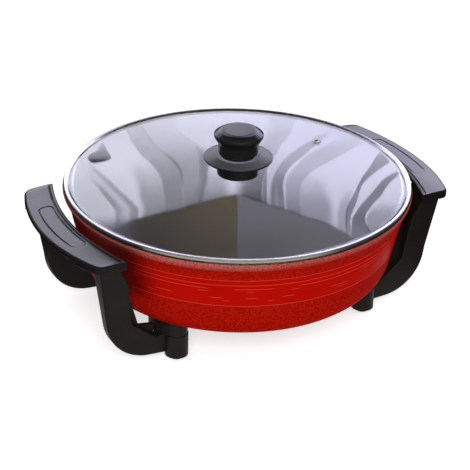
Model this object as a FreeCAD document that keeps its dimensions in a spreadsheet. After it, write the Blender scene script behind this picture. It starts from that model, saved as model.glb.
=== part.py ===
import FreeCAD, Part
import math
import os

import Sketcher
from FreeCAD import Placement, Rotation, Vector

# Electric hot pot: a shallow cast pan on four moulded legs with two grips, a tubular
# heating element under the floor, a plug-in inlet on the +X side and a lift-off glass lid.
# Millimetres, +Z up. The origin is on the table, under the middle of the pan.

# Driving dimensions: name, value, meaning
DIMENSIONS = [
    # Pan
    ("pan_bottom_height", 36.0, "underside of the pan above the table"),
    ("pan_floor", 4.0, "thickness of the pan floor"),
    ("pan_wall", 4.1, "thickness of the pan wall, measured level"),
    ("wall_taper", 18.9, "how far the wall runs in from the lip to the underside"),
    ("pan_corner_radius", 32.0, "outside rounding between wall and underside"),
    ("wall_height", 87.2, "wall from the underside to the rolled lip"),
    ("lip_overhang", 5.8, "how far the lip stands out over the wall"),
    ("pan_collar_round", 3.0, "rounding between wall and lip"),
    ("lip_shoulder_rise", 2.4, "lip's full width above the wall's top"),
    ("lip_shoulder_round", 2.0, "rounding of the lip's shoulder"),
    ("ledge_rise", 5.8, "ledge that the lid rests on, above the wall's top"),
    ("lip_rim", 2.0, "lip above the ledge, round the lid"),
    ("lip_width", 2.2, "width of the lip"),
    ("ledge_round", 1.0, "rounding of the ledge's inner edge"),
    ("lid_play", 0.8, "level clearance between lid band and lip"),
    # Channel for the element, cast under the floor
    ("element_inset", 53.3, "centre line of the element's ring inside the pan's foot radius"),
    ("element_tube_radius", 3.5, "outside of the element's tube"),
    ("element_bend_radius", 16.0, "bend between ring and leads"),
    ("element_hang", 4.5, "centre of the element below the pan's underside"),
    ("channel_wall", 2.5, "wall of the element's channel"),
    ("channel_drop", 8.0, "depth of the channel below the floor"),
    ("channel_gap_half", 34.0, "half the length of the channel's gap at the leads"),
    ("seat_clearance", 0.05, "clearance of pieces that sit in each other"),
    ("merge", 1.0, "how far a joined shape starts inside the other"),
    ("cut_margin", 1.0, "how far a cut starts outside the solid"),
    # Inlet
    ("pin_spread", 13.0, "terminal pin centre from the middle"),
    ("pin_radius", 2.4, "terminal pin, its contact part"),
    ("pin_root_radius", 1.9, "the part of it that runs through the bush"),
    ("pin_shoulder_gap", 0.2, "contact part in front of the bush"),
    ("pin_tip_round", 1.4, "rounding of the pin's tip"),
    ("pin_reach", 20.0, "terminal pin in front of the shroud's back wall"),
    ("pin_root", 6.0, "terminal pin behind the shroud's back wall"),
    ("bush_radius", 4.4, "ceramic bush round a terminal pin"),
    ("bush_collar", 1.0, "how far the bush's collar stands out round the hole"),
    ("bush_front", 2.0, "bush in front of the shroud's back wall"),
    ("bush_back_gap", 1.0, "room between the element's end and the bush"),
    ("probe_radius", 4.4, "outside of the probe guide"),
    ("probe_bore_radius", 3.25, "bore for the thermostat's probe"),
    ("probe_depth", 70.0, "depth of that bore"),
    ("probe_end_wall", 3.0, "closed end of the probe guide"),
    ("inlet_inset", 2.3, "back of the shroud inside the pan's foot radius"),
    ("inlet_wall", 2.8, "wall of the shroud"),
    ("inlet_depth", 26.0, "shroud from back to mouth"),
    ("inlet_half_width", 24.5, "half the shroud's width"),
    ("inlet_below", 14.0, "underside of the shroud below the element's centre"),
    ("inlet_above", 13.5, "top of the shroud above the element's centre"),
    ("inlet_round", 6.0, "rounding of the shroud's corners"),
    ("inlet_screw_set", 26.0, "inlet screw behind the shroud's back"),
    ("inlet_screw_y", 22.4, "inlet screw from the middle"),
    ("inlet_arm_half", 3.6, "half the width of a shroud arm"),
    ("inlet_arm_thickness", 3.6, "thickness of a shroud arm"),
    ("inlet_boss_radius", 5.0, "cast boss for an inlet screw"),
    ("inlet_boss_drop", 5.0, "that boss below the floor"),
    ("inlet_screw_radius", 1.9, "shank of an inlet screw"),
    # Legs
    ("leg_inner_y", 65.0, "leg face towards the middle of its grip"),
    ("leg_thickness", 12.0, "leg from that face to the opposite one at the arm"),
    ("leg_flare", 6.5, "how far that opposite face leans out under the grip"),
    ("leg_flare_drop", 57.0, "where it starts to lean, below the leg's top"),
    ("leg_top_inset", 2.7, "leg top, side towards the pan, inside the collar's radius"),
    ("leg_top_width", 20.0, "leg's top from its inner to its outer side"),
    ("leg_neck_set", 10.0, "inner side under the top, further in than the top"),
    ("leg_neck_drop", 21.0, "height of that place below the leg's top"),
    ("leg_neck_round", 20.0, "bend of the inner side there"),
    ("leg_knee_set", 5.3, "where the arm's slope starts, further in than the neck"),
    ("leg_knee_rise", 10.0, "height of that place above the pan's underside"),
    ("leg_knee_round", 8.0, "bend of the inner side there"),
    ("leg_slope_run", 23.7, "length of the arm's slope, long way"),
    ("leg_slope_foot_round", 10.0, "bend of the arm's top there"),
    ("support_drop", 9.0, "level top of the arm below the pan's underside"),
    ("arm_bottom", 6.5, "underside of the arm at its end"),
    ("leg_corner_set", 14.9, "outer corner before it is rounded, inside the top's outer side"),
    ("leg_corner_height", 10.5, "height of that corner"),
    ("leg_bend_radius", 46.0, "outer bend between leg and arm"),
    ("leg_edge", 1.6, "rounding of the leg's long edges"),
    ("leg_boss_radius", 11.3, "boss round the foot screw"),
    ("leg_boss_bottom", 4.0, "underside of that boss"),
    ("rib_thickness", 4.0, "web between leg and pan"),
    ("rib_gap", 0.4, "clearance of the web's end from the support block"),
    ("rib_rise", 9.5, "top of the web above the arm's level top"),
    ("rib_toe_set", 13.7, "where the web turns up the leg, inside the knee"),
    ("rib_shoulder_set", 2.7, "bend of the web's edge, inside the knee"),
    ("rib_shoulder_rise", 17.0, "height of that bend above the knee"),
    ("rib_top_drop", 6.0, "where the web runs out on the leg, below the neck"),
    ("foot_screw_inset", 44.3, "foot screw inside the pan's foot radius, long way"),
    ("foot_screw_set", 13.0, "foot screw past the leg's inner face, short way"),
    ("foot_screw_radius", 2.5, "shank of a foot screw"),
    ("screw_play", 0.3, "level clearance of a screw in its passage"),
    ("foot_well_radius", 6.0, "well in the boss for screw head and foot stem"),
    ("foot_well_top", 14.0, "top of that well"),
    # Support blocks between legs and pan
    ("support_radius", 10.6, "rounded ends of a support block"),
    ("support_long", 9.5, "far end of a support block from the foot screw, long way"),
    ("support_short", 18.0, "far end of a support block from the foot screw, short way"),
    ("support_wrap", 8.0, "how far a block climbs round the pan's edge"),
    ("pan_boss_radius", 5.6, "cast boss for a foot screw"),
    ("pan_boss_drop", 3.5, "that boss below the floor"),
    ("thread_depth", 5.5, "tapped depth in a cast boss"),
    ("screw_tip_gap", 0.5, "room past the tip of a screw"),
    # Feet
    ("foot_radius", 6.6, "rubber foot"),
    ("foot_stem_top", 9.5, "top of the foot's stem in its well"),
    ("foot_round", 1.4, "rounding of the foot's bottom edge"),
    ("foot_stem_round", 0.8, "rounding of the stem's top edge"),
    # Grips
    ("grip_overlap", 2.5, "grip's end past the leg's outer face"),
    ("grip_inset", 7.0, "grip end, side towards the pan, inside the collar's radius"),
    ("grip_width", 30.0, "grip's end from its inner to its outer side"),
    ("grip_inner_bow", 256.6, "radius of the grip's inner edge"),
    ("grip_outer_bow", 220.5, "radius of the grip's outer edge"),
    ("grip_drop", 10.2, "underside of the grip's ends below the wall's top"),
    ("grip_depth", 11.0, "grip's ends from underside to top"),
    ("grip_dip", 1.1, "how far the top sinks in the middle"),
    ("grip_tilt", 0.062, "fall of the grip's top for each millimetre outwards"),
    ("grip_thin", 5.6, "finger part's underside below the ends' top"),
    ("finger_margin", 3.0, "finger space's end from the leg's inner face"),
    ("finger_slope", 7.0, "how much shorter it is at the top"),
    ("finger_round", 4.0, "rounding of the finger space's upper corners"),
    ("grip_inner_round", 3.0, "grip corners towards the pan, in plan"),
    ("grip_outer_round", 6.5, "outer grip corners, in plan"),
    ("grip_screw_set", 15.8, "grip screw out from the grip's inner end"),
    ("grip_screw_inset", 11.0, "grip screw from the leg's inner face"),
    ("grip_screw_radius", 1.9, "shank of a grip screw"),
    ("lug_radius", 8.0, "lug on the leg's top for the grip screw"),
    ("lug_thickness", 7.0, "thickness of that lug"),
    ("grip_boss_radius", 5.6, "boss under the grip for the grip screw"),
    ("grip_bore_reach", 1.5, "screw bore above the finger part's underside"),
    # Lid
    ("lid_band_cover", 0.95, "band over the glass"),
    ("lid_band_radius", 170.0, "outside of the lid's steel band"),
    ("lid_band_sheet", 0.85, "thickness of the rolled band"),
    ("lid_band_width", 4.8, "how far the band reaches in over the glass"),
    ("lid_band_round", 0.8, "rounding of the band's outer edges"),
    ("lid_band_lip_round", 0.35, "rounding of its inner upper edge"),
    ("dome_margin", 0.4, "flat rim of the glass inside the band"),
    ("glass_thickness", 3.6, "lid glass"),
    ("glass_rise", 6.7, "how far the dome rises over its edge"),
    ("vent_x", 110.5, "steam vent from the lid's axis, long way"),
    ("vent_y", 36.5, "steam vent from the lid's axis, short way"),
    ("vent_bore_radius", 1.9, "hole through the steam vent's eyelet"),
    ("vent_tube_radius", 2.7, "outside of the eyelet's tube"),
    ("vent_flange_radius", 4.4, "flange of the eyelet"),
    ("vent_flange", 0.6, "thickness of the eyelet's flange"),
    ("vent_rolled_radius", 4.0, "rolled flange under the glass"),
    ("vent_round", 0.25, "rounding of the eyelet's edges"),
    ("vent_hole_radius", 3.2, "hole in the glass for the eyelet"),
    # Knob
    ("collar_radius", 21.7, "collar of the knob on the glass"),
    ("collar_length", 13.15, "collar from the glass to the guard disc"),
    ("collar_round", 1.0, "rounding of the collar's edges"),
    ("guard_radius", 34.0, "guard disc"),
    ("guard_rise", 4.2, "upper rim of the guard disc above its collar"),
    ("guard_edge", 1.9, "thickness of the guard disc at its rim"),
    ("guard_edge_round", 0.6, "rounding of that rim"),
    ("guard_crown_rise", 1.8, "top of the guard under the knob's neck, above that rim"),
    ("guard_crown_radius", 21.4, "level part of the guard's top"),
    ("guard_crown_round", 3.0, "rounding of its edge"),
    ("neck_radius", 19.4, "neck of the knob"),
    ("neck_waist_radius", 17.4, "waist under the neck"),
    ("waist_length", 3.2, "waist from the guard to the bottom edge of the neck"),
    ("neck_length", 9.4, "neck from its bottom edge to its top"),
    ("neck_slope", 1.0, "height of the slope between waist and neck"),
    ("neck_round", 0.5, "rounding of the edges of that slope"),
    ("neck_fillet", 2.5, "hollow between neck and head"),
    ("knob_radius", 24.2, "widest part of the knob's head"),
    ("head_flare", 7.0, "from the neck's top to the lower edge of that part"),
    ("knob_rim", 2.8, "height of that part"),
    ("knob_rim_round", 1.2, "rounding of both edges"),
    ("knob_flat_radius", 18.2, "where crown and rim slope would meet"),
    ("knob_crown_round", 12.0, "rounding between them"),
    ("knob_crown", 4.2, "top of the knob above that part"),
    ("knob_screw_radius", 2.5, "screw that holds the knob"),
    ("knob_screw_depth", 15.0, "end of that screw below the knob's top"),
    ("knob_bore_gap", 1.5, "tapped bore past the screw's end"),
    ("glass_bore_radius", 4.0, "hole in the glass for that screw"),
    ("seal_thickness", 1.5, "silicone washer under the glass"),
    ("seal_radius", 9.5, "outside of that washer"),
    ("washer_thickness", 1.0, "steel washer"),
    ("washer_radius", 8.0, "outside of the steel washer"),
    ("washer_round", 0.25, "rounding of a washer's outer edges"),
    # Screw heads
    ("screw_head_ratio", 1.8, "head radius over shank radius"),
    ("screw_head_height", 2.6, "height of every screw head"),
    ("screw_head_round", 0.3, "rounding of a head over its radius"),
    ("recess_half_width", 0.55, "half the width of a cross recess"),
    ("recess_share", 0.62, "reach of the cross recess over the head radius"),
    ("recess_depth", 1.3, "depth of the cross recess"),
]

doc = FreeCAD.newDocument("HotPot")
sheet = doc.addObject("Spreadsheet::Sheet", "Sizes")
for row, (alias, value, meaning) in enumerate(DIMENSIONS, 1):
    sheet.set("A%d" % row, meaning)
    sheet.set("B%d" % row, str(value))
    sheet.setAlias("B%d" % row, alias)
doc.recompute()


# Sizes as values that keep their sheet expression


class Size:
    """A size as its value together with the sheet expression that gives it."""

    def __init__(self, value, text):
        self.value = float(value)
        self.text = text

    def __add__(self, other):
        other = as_size(other)
        return Size(self.value + other.value, "(%s + %s)" % (self.text, other.text))

    def __sub__(self, other):
        other = as_size(other)
        return Size(self.value - other.value, "(%s - %s)" % (self.text, other.text))

    def __mul__(self, other):
        other = as_size(other)
        return Size(self.value * other.value, "(%s * %s)" % (self.text, other.text))

    def __truediv__(self, other):
        other = as_size(other)
        return Size(self.value / other.value, "(%s / %s)" % (self.text, other.text))

    def __neg__(self):
        return Size(-self.value, "(0 - %s)" % self.text)

    __radd__ = __add__
    __rmul__ = __mul__

    def __rsub__(self, other):
        return as_size(other) - self


def as_size(thing):
    """A Size as it is, or a plain number as a Size."""
    if isinstance(thing, Size):
        return thing
    number = float(thing)
    if number < 0:
        return Size(number, "(0 - %r)" % -number)
    return Size(number, repr(number))


def root_of(size):
    """Square root of a Size."""
    return Size(math.sqrt(size.value), "sqrt(%s)" % size.text)


class Sizes:
    """Every driving dimension by its name, read back from the sheet."""

    def __getattr__(self, alias):
        return Size(sheet.get(alias), "Sizes." + alias)


dim = Sizes()


# Drawing helpers


def bind(feature, field, size):
    """Give a feature's field its value and the expression behind it."""
    size = as_size(size)
    feature.setExpression(field, size.text)


def new_body(name, x=0, y=0, z=0):
    """A body named after its sub-part, with its own origin at x, y, z."""
    body = doc.addObject("PartDesign::Body", name)
    spot = [as_size(x), as_size(y), as_size(z)]
    body.Placement = Placement(Vector(*[each.value for each in spot]), Rotation())
    for letter, each in zip("xyz", spot):
        if each.value:
            bind(body, "Placement.Base." + letter, each)
    return body


def new_sketch(body, plane, offset=0):
    """A sketch on one of the body's own origin planes, moved along its normal."""
    sketch = body.newObject("Sketcher::SketchObject", body.Name + "_sketch")
    support = [face for face in body.Origin.OriginFeatures if face.Role == plane][0]
    sketch.AttachmentSupport = (support, [""])
    sketch.MapMode = "FlatFace"
    offset = as_size(offset)
    sketch.AttachmentOffset = Placement(Vector(0, 0, offset.value), Rotation())
    bind(sketch, "AttachmentOffset.Base.z", offset)
    return sketch


def constrain(sketch, kind, *facts):
    """Add a constraint; when its last fact is a Size, bind it to the sheet."""
    size = facts[-1]
    if isinstance(size, Size):
        index = sketch.addConstraint(Sketcher.Constraint(kind, *facts[:-1], size.value))
        sketch.setExpression("Constraints[%d]" % index, size.text)
    else:
        sketch.addConstraint(Sketcher.Constraint(kind, *facts))


def pin_point(sketch, geometry, end, x, y):
    """Fix one point of the sketch at x, y from its origin."""
    for kind, axis, size in (("DistanceX", -2, as_size(x)), ("DistanceY", -1, as_size(y))):
        if abs(size.value) < 1e-9:
            constrain(sketch, "PointOnObject", geometry, end, axis)
        else:
            constrain(sketch, kind, -1, 1, geometry, end, size)


def corner(x, y, rounding=None, bow=None):
    """One corner of an outline: its place, its rounding and the bow of the edge after it."""
    return {"x": as_size(x), "y": as_size(y), "round": rounding, "bow": bow}


def outline(sketch, corners):
    """Draw a closed outline whose corners are fixed by expressions.

    A corner with a rounding gets an arc tangent to both its straight edges. An edge
    with a bow is an arc of that radius, to the left of its way when the bow is negative.
    """
    count = len(corners)
    spots = [Vector(each["x"].value, each["y"].value, 0) for each in corners]
    leave = list(spots)
    reach = list(spots)
    arcs = {}
    for i, each in enumerate(corners):
        if each["round"] is None:
            continue
        radius = as_size(each["round"]).value
        back = (spots[i - 1] - spots[i]).normalize()
        ahead = (spots[(i + 1) % count] - spots[i]).normalize()
        half = back.getAngle(ahead) / 2
        reach[i] = spots[i] + back * (radius / math.tan(half))
        leave[i] = spots[i] + ahead * (radius / math.tan(half))
        middle = spots[i] + (back + ahead).normalize() * (radius / math.sin(half))
        left_turn = (back * -1).cross(ahead).z > 0
        arcs[i] = (middle, radius, left_turn)

    edges = []
    for i, each in enumerate(corners):
        start = leave[i]
        stop = reach[(i + 1) % count]
        if each["bow"] is None:
            edges.append((sketch.addGeometry(Part.LineSegment(start, stop), False), 1, 2))
            continue
        bow = as_size(each["bow"])
        edges.append(add_bow(sketch, start, stop, bow))
        constrain(sketch, "Radius", edges[-1][0], bow if bow.value > 0 else -bow)

    for i, each in enumerate(corners):
        before, _, before_end = edges[i - 1]
        after, after_start, _ = edges[i]
        if i not in arcs:
            constrain(sketch, "Coincident", before, before_end, after, after_start)
            pin_point(sketch, after, after_start, each["x"], each["y"])
            continue
        middle, radius, left_turn = arcs[i]
        first, last = (reach[i], leave[i]) if left_turn else (leave[i], reach[i])
        arc = add_arc(sketch, middle, radius, first, last)
        near, far = (1, 2) if left_turn else (2, 1)
        constrain(sketch, "Tangent", before, before_end, arc, near)
        constrain(sketch, "Tangent", arc, far, after, after_start)
        constrain(sketch, "Radius", arc, as_size(each["round"]))
        point = sketch.addGeometry(Part.Point(spots[i]), True)
        pin_point(sketch, point, 1, each["x"], each["y"])
        constrain(sketch, "PointOnObject", point, 1, before)
        constrain(sketch, "PointOnObject", point, 1, after)


def add_arc(sketch, middle, radius, first, last):
    """An arc about middle that runs counterclockwise from first to last."""
    start = math.atan2(first.y - middle.y, first.x - middle.x)
    stop = math.atan2(last.y - middle.y, last.x - middle.x)
    if stop < start:
        stop += 2 * math.pi
    circle = Part.Circle(middle, Vector(0, 0, 1), radius)
    return sketch.addGeometry(Part.ArcOfCircle(circle, start, stop), False)


def add_bow(sketch, start, stop, bow):
    """A shallow arc from start to stop, bulging right of its way when bow is positive."""
    radius = abs(bow.value)
    chord = stop - start
    rise = math.sqrt(radius ** 2 - (chord.Length / 2) ** 2)
    right = Vector(chord.y, -chord.x, 0).normalize()
    if bow.value > 0:
        middle = (start + stop) * 0.5 - right * rise
        return add_arc(sketch, middle, radius, start, stop), 1, 2
    middle = (start + stop) * 0.5 + right * rise
    return add_arc(sketch, middle, radius, stop, start), 2, 1


def circles(sketch, spots, radius):
    """Circles of one radius at the given places."""
    for x, y in spots:
        x = as_size(x)
        y = as_size(y)
        radius = as_size(radius)
        circle = Part.Circle(Vector(x.value, y.value, 0), Vector(0, 0, 1), radius.value)
        index = sketch.addGeometry(circle, False)
        pin_point(sketch, index, 3, x, y)
        constrain(sketch, "Radius", index, radius)


def slot(sketch, first, second, radius):
    """A round-ended slot about two places."""
    ends = [Vector(as_size(x).value, as_size(y).value, 0) for x, y in (first, second)]
    along = (ends[1] - ends[0]).normalize()
    side = Vector(-along.y, along.x, 0) * radius.value
    cap_one = add_arc(sketch, ends[0], radius.value, ends[0] + side, ends[0] - side)
    cap_two = add_arc(sketch, ends[1], radius.value, ends[1] - side, ends[1] + side)
    near = sketch.addGeometry(Part.LineSegment(ends[0] - side, ends[1] - side), False)
    far = sketch.addGeometry(Part.LineSegment(ends[1] + side, ends[0] + side), False)
    constrain(sketch, "Tangent", cap_one, 2, near, 1)
    constrain(sketch, "Tangent", near, 2, cap_two, 1)
    constrain(sketch, "Tangent", cap_two, 2, far, 1)
    constrain(sketch, "Tangent", far, 2, cap_one, 1)
    pin_point(sketch, cap_one, 3, *first)
    pin_point(sketch, cap_two, 3, *second)
    constrain(sketch, "Radius", cap_one, radius)
    constrain(sketch, "Radius", cap_two, radius)


def box_corners(x_low, x_high, y_low, y_high, rounding=None):
    """The four corners of a rectangle."""
    return [
        corner(x_low, y_low, rounding),
        corner(x_high, y_low, rounding),
        corner(x_high, y_high, rounding),
        corner(x_low, y_high, rounding),
    ]


def spin(body, kind, corners):
    """Revolve (or groove) an outline of radii and heights about the body's Z axis."""
    sketch = new_sketch(body, "XZ_Plane")
    outline(sketch, corners)
    feature = body.newObject("PartDesign::" + kind, body.Name + "_" + kind.lower())
    feature.Profile = sketch
    feature.ReferenceAxis = (sketch, ["V_Axis"])
    feature.Angle = 360
    return feature


def extrude(body, kind, sketch, length, backwards=False):
    """Pad or pocket a sketch by a length."""
    feature = body.newObject("PartDesign::" + kind, body.Name + "_" + kind.lower())
    feature.Profile = sketch
    feature.Reversed = backwards
    bind(feature, "Length", length)
    return feature


def rise(body, kind, low, high, draw, *facts):
    """Pad or pocket what draw() draws on the level plane, from low up to high."""
    sketch = new_sketch(body, "XY_Plane", low)
    draw(sketch, *facts)
    return extrude(body, kind, sketch, as_size(high) - low, backwards=(kind == "Pocket"))


def round_edges(body, radius, chosen):
    """Fillet the edges of the body's last solid for which chosen(edge) is true."""
    doc.recompute()
    base = body.Tip
    names = []
    for number, edge in enumerate(base.Shape.Edges, 1):
        if chosen(edge):
            names.append("Edge%d" % number)
    fillet = body.newObject("PartDesign::Fillet", body.Name + "_fillet")
    fillet.Base = (base, names)
    bind(fillet, "Radius", radius)
    return fillet


def all_at(edge, axis, value):
    """True when the whole edge lies at one value of x, y or z."""
    low = getattr(edge.BoundBox, axis + "Min")
    high = getattr(edge.BoundBox, axis + "Max")
    return abs(low - value.value) < 0.01 and abs(high - value.value) < 0.01


def mirrored(source, name, x=0, y=0):
    """A mirror image of a sub-part as a sub-part of its own."""
    image = doc.addObject("Part::Mirroring", name)
    image.Source = source
    image.Normal = Vector(x, y, 0)
    return image


# Shared places worked out from the dimensions, pan first

lip_inner_radius = dim.lid_band_radius + dim.lid_play
lip_outer_radius = lip_inner_radius + dim.lip_width
pan_collar_radius = lip_outer_radius - dim.lip_overhang
pan_foot_radius = pan_collar_radius - dim.wall_taper
pan_collar_height = dim.pan_bottom_height + dim.wall_height
lip_shoulder_height = pan_collar_height + dim.lip_shoulder_rise
ledge_height = pan_collar_height + dim.ledge_rise
lip_height = ledge_height + dim.lip_rim
floor_height = dim.pan_bottom_height + dim.pan_floor
pan_slope = (pan_collar_radius - pan_foot_radius) / (pan_collar_height - dim.pan_bottom_height)


def wall_radius(height):
    """Outside radius of the tapered wall at a height."""
    return pan_foot_radius + pan_slope * (as_size(height) - dim.pan_bottom_height)


# Element and inlet

element_ring_radius = pan_foot_radius - dim.element_inset
element_height = dim.pan_bottom_height - dim.element_hang
inlet_back = pan_foot_radius - dim.inlet_inset
inlet_front = inlet_back + dim.inlet_wall
inlet_low = element_height - dim.inlet_below
inlet_high = element_height + dim.inlet_above
inlet_screw_x = inlet_back - dim.inlet_screw_set
inlet_boss_bottom = dim.pan_bottom_height - dim.inlet_boss_drop
inlet_arm_bottom = inlet_boss_bottom - dim.inlet_arm_thickness
inlet_screw_places = [(inlet_screw_x, dim.inlet_screw_y), (inlet_screw_x, -dim.inlet_screw_y)]

# Grips and legs, outwards from the pan and down from the lip

grip_bottom = pan_collar_height - dim.grip_drop
grip_top = grip_bottom + dim.grip_depth
grip_inner_end_x = pan_collar_radius - dim.grip_inset
grip_outer_end_x = grip_inner_end_x + dim.grip_width
grip_screw_x = grip_inner_end_x + dim.grip_screw_set
grip_screw_y = dim.leg_inner_y - dim.grip_screw_inset
grip_screw_seat = grip_bottom - dim.lug_thickness
finger_half = dim.leg_inner_y - dim.finger_margin
leg_outer_y = dim.leg_inner_y + dim.leg_thickness
leg_top_outer_y = leg_outer_y + dim.leg_flare
leg_flare_height = grip_bottom - dim.leg_flare_drop
grip_half_length = leg_top_outer_y + dim.grip_overlap
leg_top_inner_x = pan_collar_radius - dim.leg_top_inset
leg_top_outer_x = leg_top_inner_x + dim.leg_top_width
leg_corner_x = leg_top_outer_x - dim.leg_corner_set
leg_neck_inner_x = leg_top_inner_x - dim.leg_neck_set
leg_neck_height = grip_bottom - dim.leg_neck_drop
leg_knee_inner_x = leg_neck_inner_x - dim.leg_knee_set
leg_knee_height = dim.pan_bottom_height + dim.leg_knee_rise
leg_slope_foot_x = leg_knee_inner_x - dim.leg_slope_run
arm_top = dim.pan_bottom_height - dim.support_drop
rib_height = arm_top + dim.rib_rise
rib_toe_x = leg_knee_inner_x - dim.rib_toe_set
rib_shoulder_x = leg_knee_inner_x - dim.rib_shoulder_set
rib_shoulder_height = leg_knee_height + dim.rib_shoulder_rise
rib_top_height = leg_neck_height - dim.rib_top_drop

# Foot screws, with the support blocks and bosses round them

foot_screw_x = pan_foot_radius - dim.foot_screw_inset
foot_screw_y = dim.leg_inner_y + dim.foot_screw_set
support_far_x = foot_screw_x + dim.support_long
support_far_y = foot_screw_y - dim.support_short
pan_boss_bottom = dim.pan_bottom_height - dim.pan_boss_drop
boss_root = dim.pan_bottom_height + dim.pan_floor / 2
foot_passage_radius = dim.foot_screw_radius + dim.screw_play
washer_top = dim.foot_well_top
foot_screw_seat = washer_top - dim.washer_thickness
foot_screw_places = [
    (along, across)
    for along in (foot_screw_x, -foot_screw_x)
    for across in (foot_screw_y, -foot_screw_y)
]


def screw(name, x, y, seat, length, shank):
    """A pan-head screw from below: head under the seat, shank up from it, cross recess."""
    head = shank * dim.screw_head_ratio
    body = new_body(name, x, y, seat)
    spin(body, "Revolution", [
        corner(0, -dim.screw_head_height),
        corner(head, -dim.screw_head_height, head * dim.screw_head_round),
        corner(head, 0),
        corner(shank, 0),
        corner(shank, length),
        corner(0, length),
    ])
    reach = head * dim.recess_share
    half = dim.recess_half_width
    cuts = (box_corners(-reach, reach, -half, half), box_corners(-half, half, -reach, reach))
    low = -dim.screw_head_height
    for cut in cuts:
        rise(body, "Pocket", low, low + dim.recess_depth, outline, cut)
    return body


def ring(name, x, y, low, high, bore, radius):
    """A flat washer from low to high."""
    body = new_body(name, x, y, low)
    thickness = high - low
    spin(body, "Revolution", [
        corner(bore, 0),
        corner(radius, 0, dim.washer_round),
        corner(radius, thickness, dim.washer_round),
        corner(bore, thickness),
    ])
    return body


def four_of(source, name):
    """The source and its images in the other three quarters, as one sub-part."""
    across = mirrored(source, name + "_across", y=1)
    along = mirrored(source, name + "_along", x=1)
    both = mirrored(across, name + "_both", x=1)
    group = doc.addObject("Part::Compound", name)
    group.Links = [source, across, along, both]
    return group


nodes = []


# Pan: spun wall, floor, ledge and lip, with the element's channel under the floor

pan = new_body("pan_body")
channel_half = dim.element_tube_radius + dim.seat_clearance
channel_bottom = dim.pan_bottom_height - dim.channel_drop
channel_roof = element_height + channel_half
channel_inside = element_ring_radius - channel_half - dim.channel_wall
channel_outside = element_ring_radius + channel_half + dim.channel_wall
inner_corner = dim.pan_corner_radius - dim.pan_floor
lip_round = dim.lip_width * 0.45
spin(pan, "Revolution", [
    corner(0, dim.pan_bottom_height),
    corner(channel_inside, dim.pan_bottom_height),
    corner(channel_inside, channel_bottom),
    corner(element_ring_radius - channel_half, channel_bottom),
    corner(element_ring_radius - channel_half, channel_roof),
    corner(element_ring_radius + channel_half, channel_roof),
    corner(element_ring_radius + channel_half, channel_bottom),
    corner(channel_outside, channel_bottom),
    corner(channel_outside, dim.pan_bottom_height),
    corner(pan_foot_radius, dim.pan_bottom_height, dim.pan_corner_radius),
    corner(pan_collar_radius, pan_collar_height, dim.pan_collar_round),
    corner(lip_outer_radius, lip_shoulder_height, dim.lip_shoulder_round),
    corner(lip_outer_radius, lip_height, lip_round),
    corner(lip_inner_radius, lip_height, lip_round),
    corner(lip_inner_radius, ledge_height),
    corner(wall_radius(ledge_height) - dim.pan_wall, ledge_height, dim.ledge_round),
    corner(wall_radius(floor_height) - dim.pan_wall, floor_height, inner_corner),
    corner(0, floor_height),
])
gap_reach = root_of(channel_inside * channel_inside - dim.channel_gap_half * dim.channel_gap_half)
gap_corners = box_corners(gap_reach - dim.cut_margin, channel_outside + dim.cut_margin,
                          -dim.channel_gap_half, dim.channel_gap_half)
rise(pan, "Pocket", channel_bottom - dim.cut_margin, dim.pan_bottom_height, outline, gap_corners)
rise(pan, "Pad", pan_boss_bottom, boss_root, circles, foot_screw_places, dim.pan_boss_radius)
rise(pan, "Pad", inlet_boss_bottom, boss_root, circles, inlet_screw_places, dim.inlet_boss_radius)
rise(pan, "Pocket", pan_boss_bottom, pan_boss_bottom + dim.thread_depth, circles,
     foot_screw_places, dim.foot_screw_radius + dim.seat_clearance)
rise(pan, "Pocket", inlet_boss_bottom, inlet_boss_bottom + dim.thread_depth, circles,
     inlet_screw_places, dim.inlet_screw_radius + dim.seat_clearance)
nodes.append(pan)


# Heating element: one tube round the channel, with both leads out to the inlet

element = new_body("heating_element")
element_end = inlet_back - dim.pin_root
bend_y = dim.pin_spread + dim.element_bend_radius
bend_span = element_ring_radius + dim.element_bend_radius
bend_x = root_of(bend_span * bend_span - bend_y * bend_y)
share = element_ring_radius / bend_span
touch_x = bend_x * share
touch_y = bend_y * share

path = new_sketch(element, "XY_Plane", element_height)
bend_middle = Vector(bend_x.value, bend_y.value, 0)
ring_touch = Vector(touch_x.value, touch_y.value, 0)
lead_touch = Vector(bend_x.value, dim.pin_spread.value, 0)
lead_end = Vector(element_end.value, dim.pin_spread.value, 0)


def opposite(spot):
    """The same place across the inlet's middle line."""
    return Vector(spot.x, -spot.y, spot.z)


ring_line = add_arc(path, Vector(), element_ring_radius.value, ring_touch, opposite(ring_touch))
bend_one = add_arc(path, bend_middle, dim.element_bend_radius.value, ring_touch, lead_touch)
bend_two = add_arc(path, opposite(bend_middle), dim.element_bend_radius.value,
                   opposite(lead_touch), opposite(ring_touch))
lead_one = path.addGeometry(Part.LineSegment(lead_touch, lead_end), False)
lead_two = path.addGeometry(Part.LineSegment(opposite(lead_touch), opposite(lead_end)), False)
constrain(path, "Coincident", ring_line, 3, -1, 1)
constrain(path, "Radius", ring_line, element_ring_radius)
for bend, touch_end, lead_side, lead, turn in (
        (bend_one, 1, 2, lead_one, 1), (bend_two, 2, 1, lead_two, -1)):
    constrain(path, "Tangent", bend, touch_end, ring_line, 1 if turn > 0 else 2)
    constrain(path, "Tangent", bend, lead_side, lead, 1)
    constrain(path, "Radius", bend, dim.element_bend_radius)
    constrain(path, "Horizontal", lead)
    pin_point(path, lead, 2, element_end, dim.pin_spread * turn)

section = new_sketch(element, "YZ_Plane", element_end)
circles(section, [(dim.pin_spread, element_height)], dim.element_tube_radius)
tube = element.newObject("PartDesign::AdditivePipe", "element_tube")
tube.Profile = section
tube.Spine = (path, ["Edge4", "Edge2", "Edge1", "Edge3", "Edge5"])
nodes.append(element)


# Inlet: terminal pins in ceramic bushes, probe guide and moulded shroud


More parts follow.
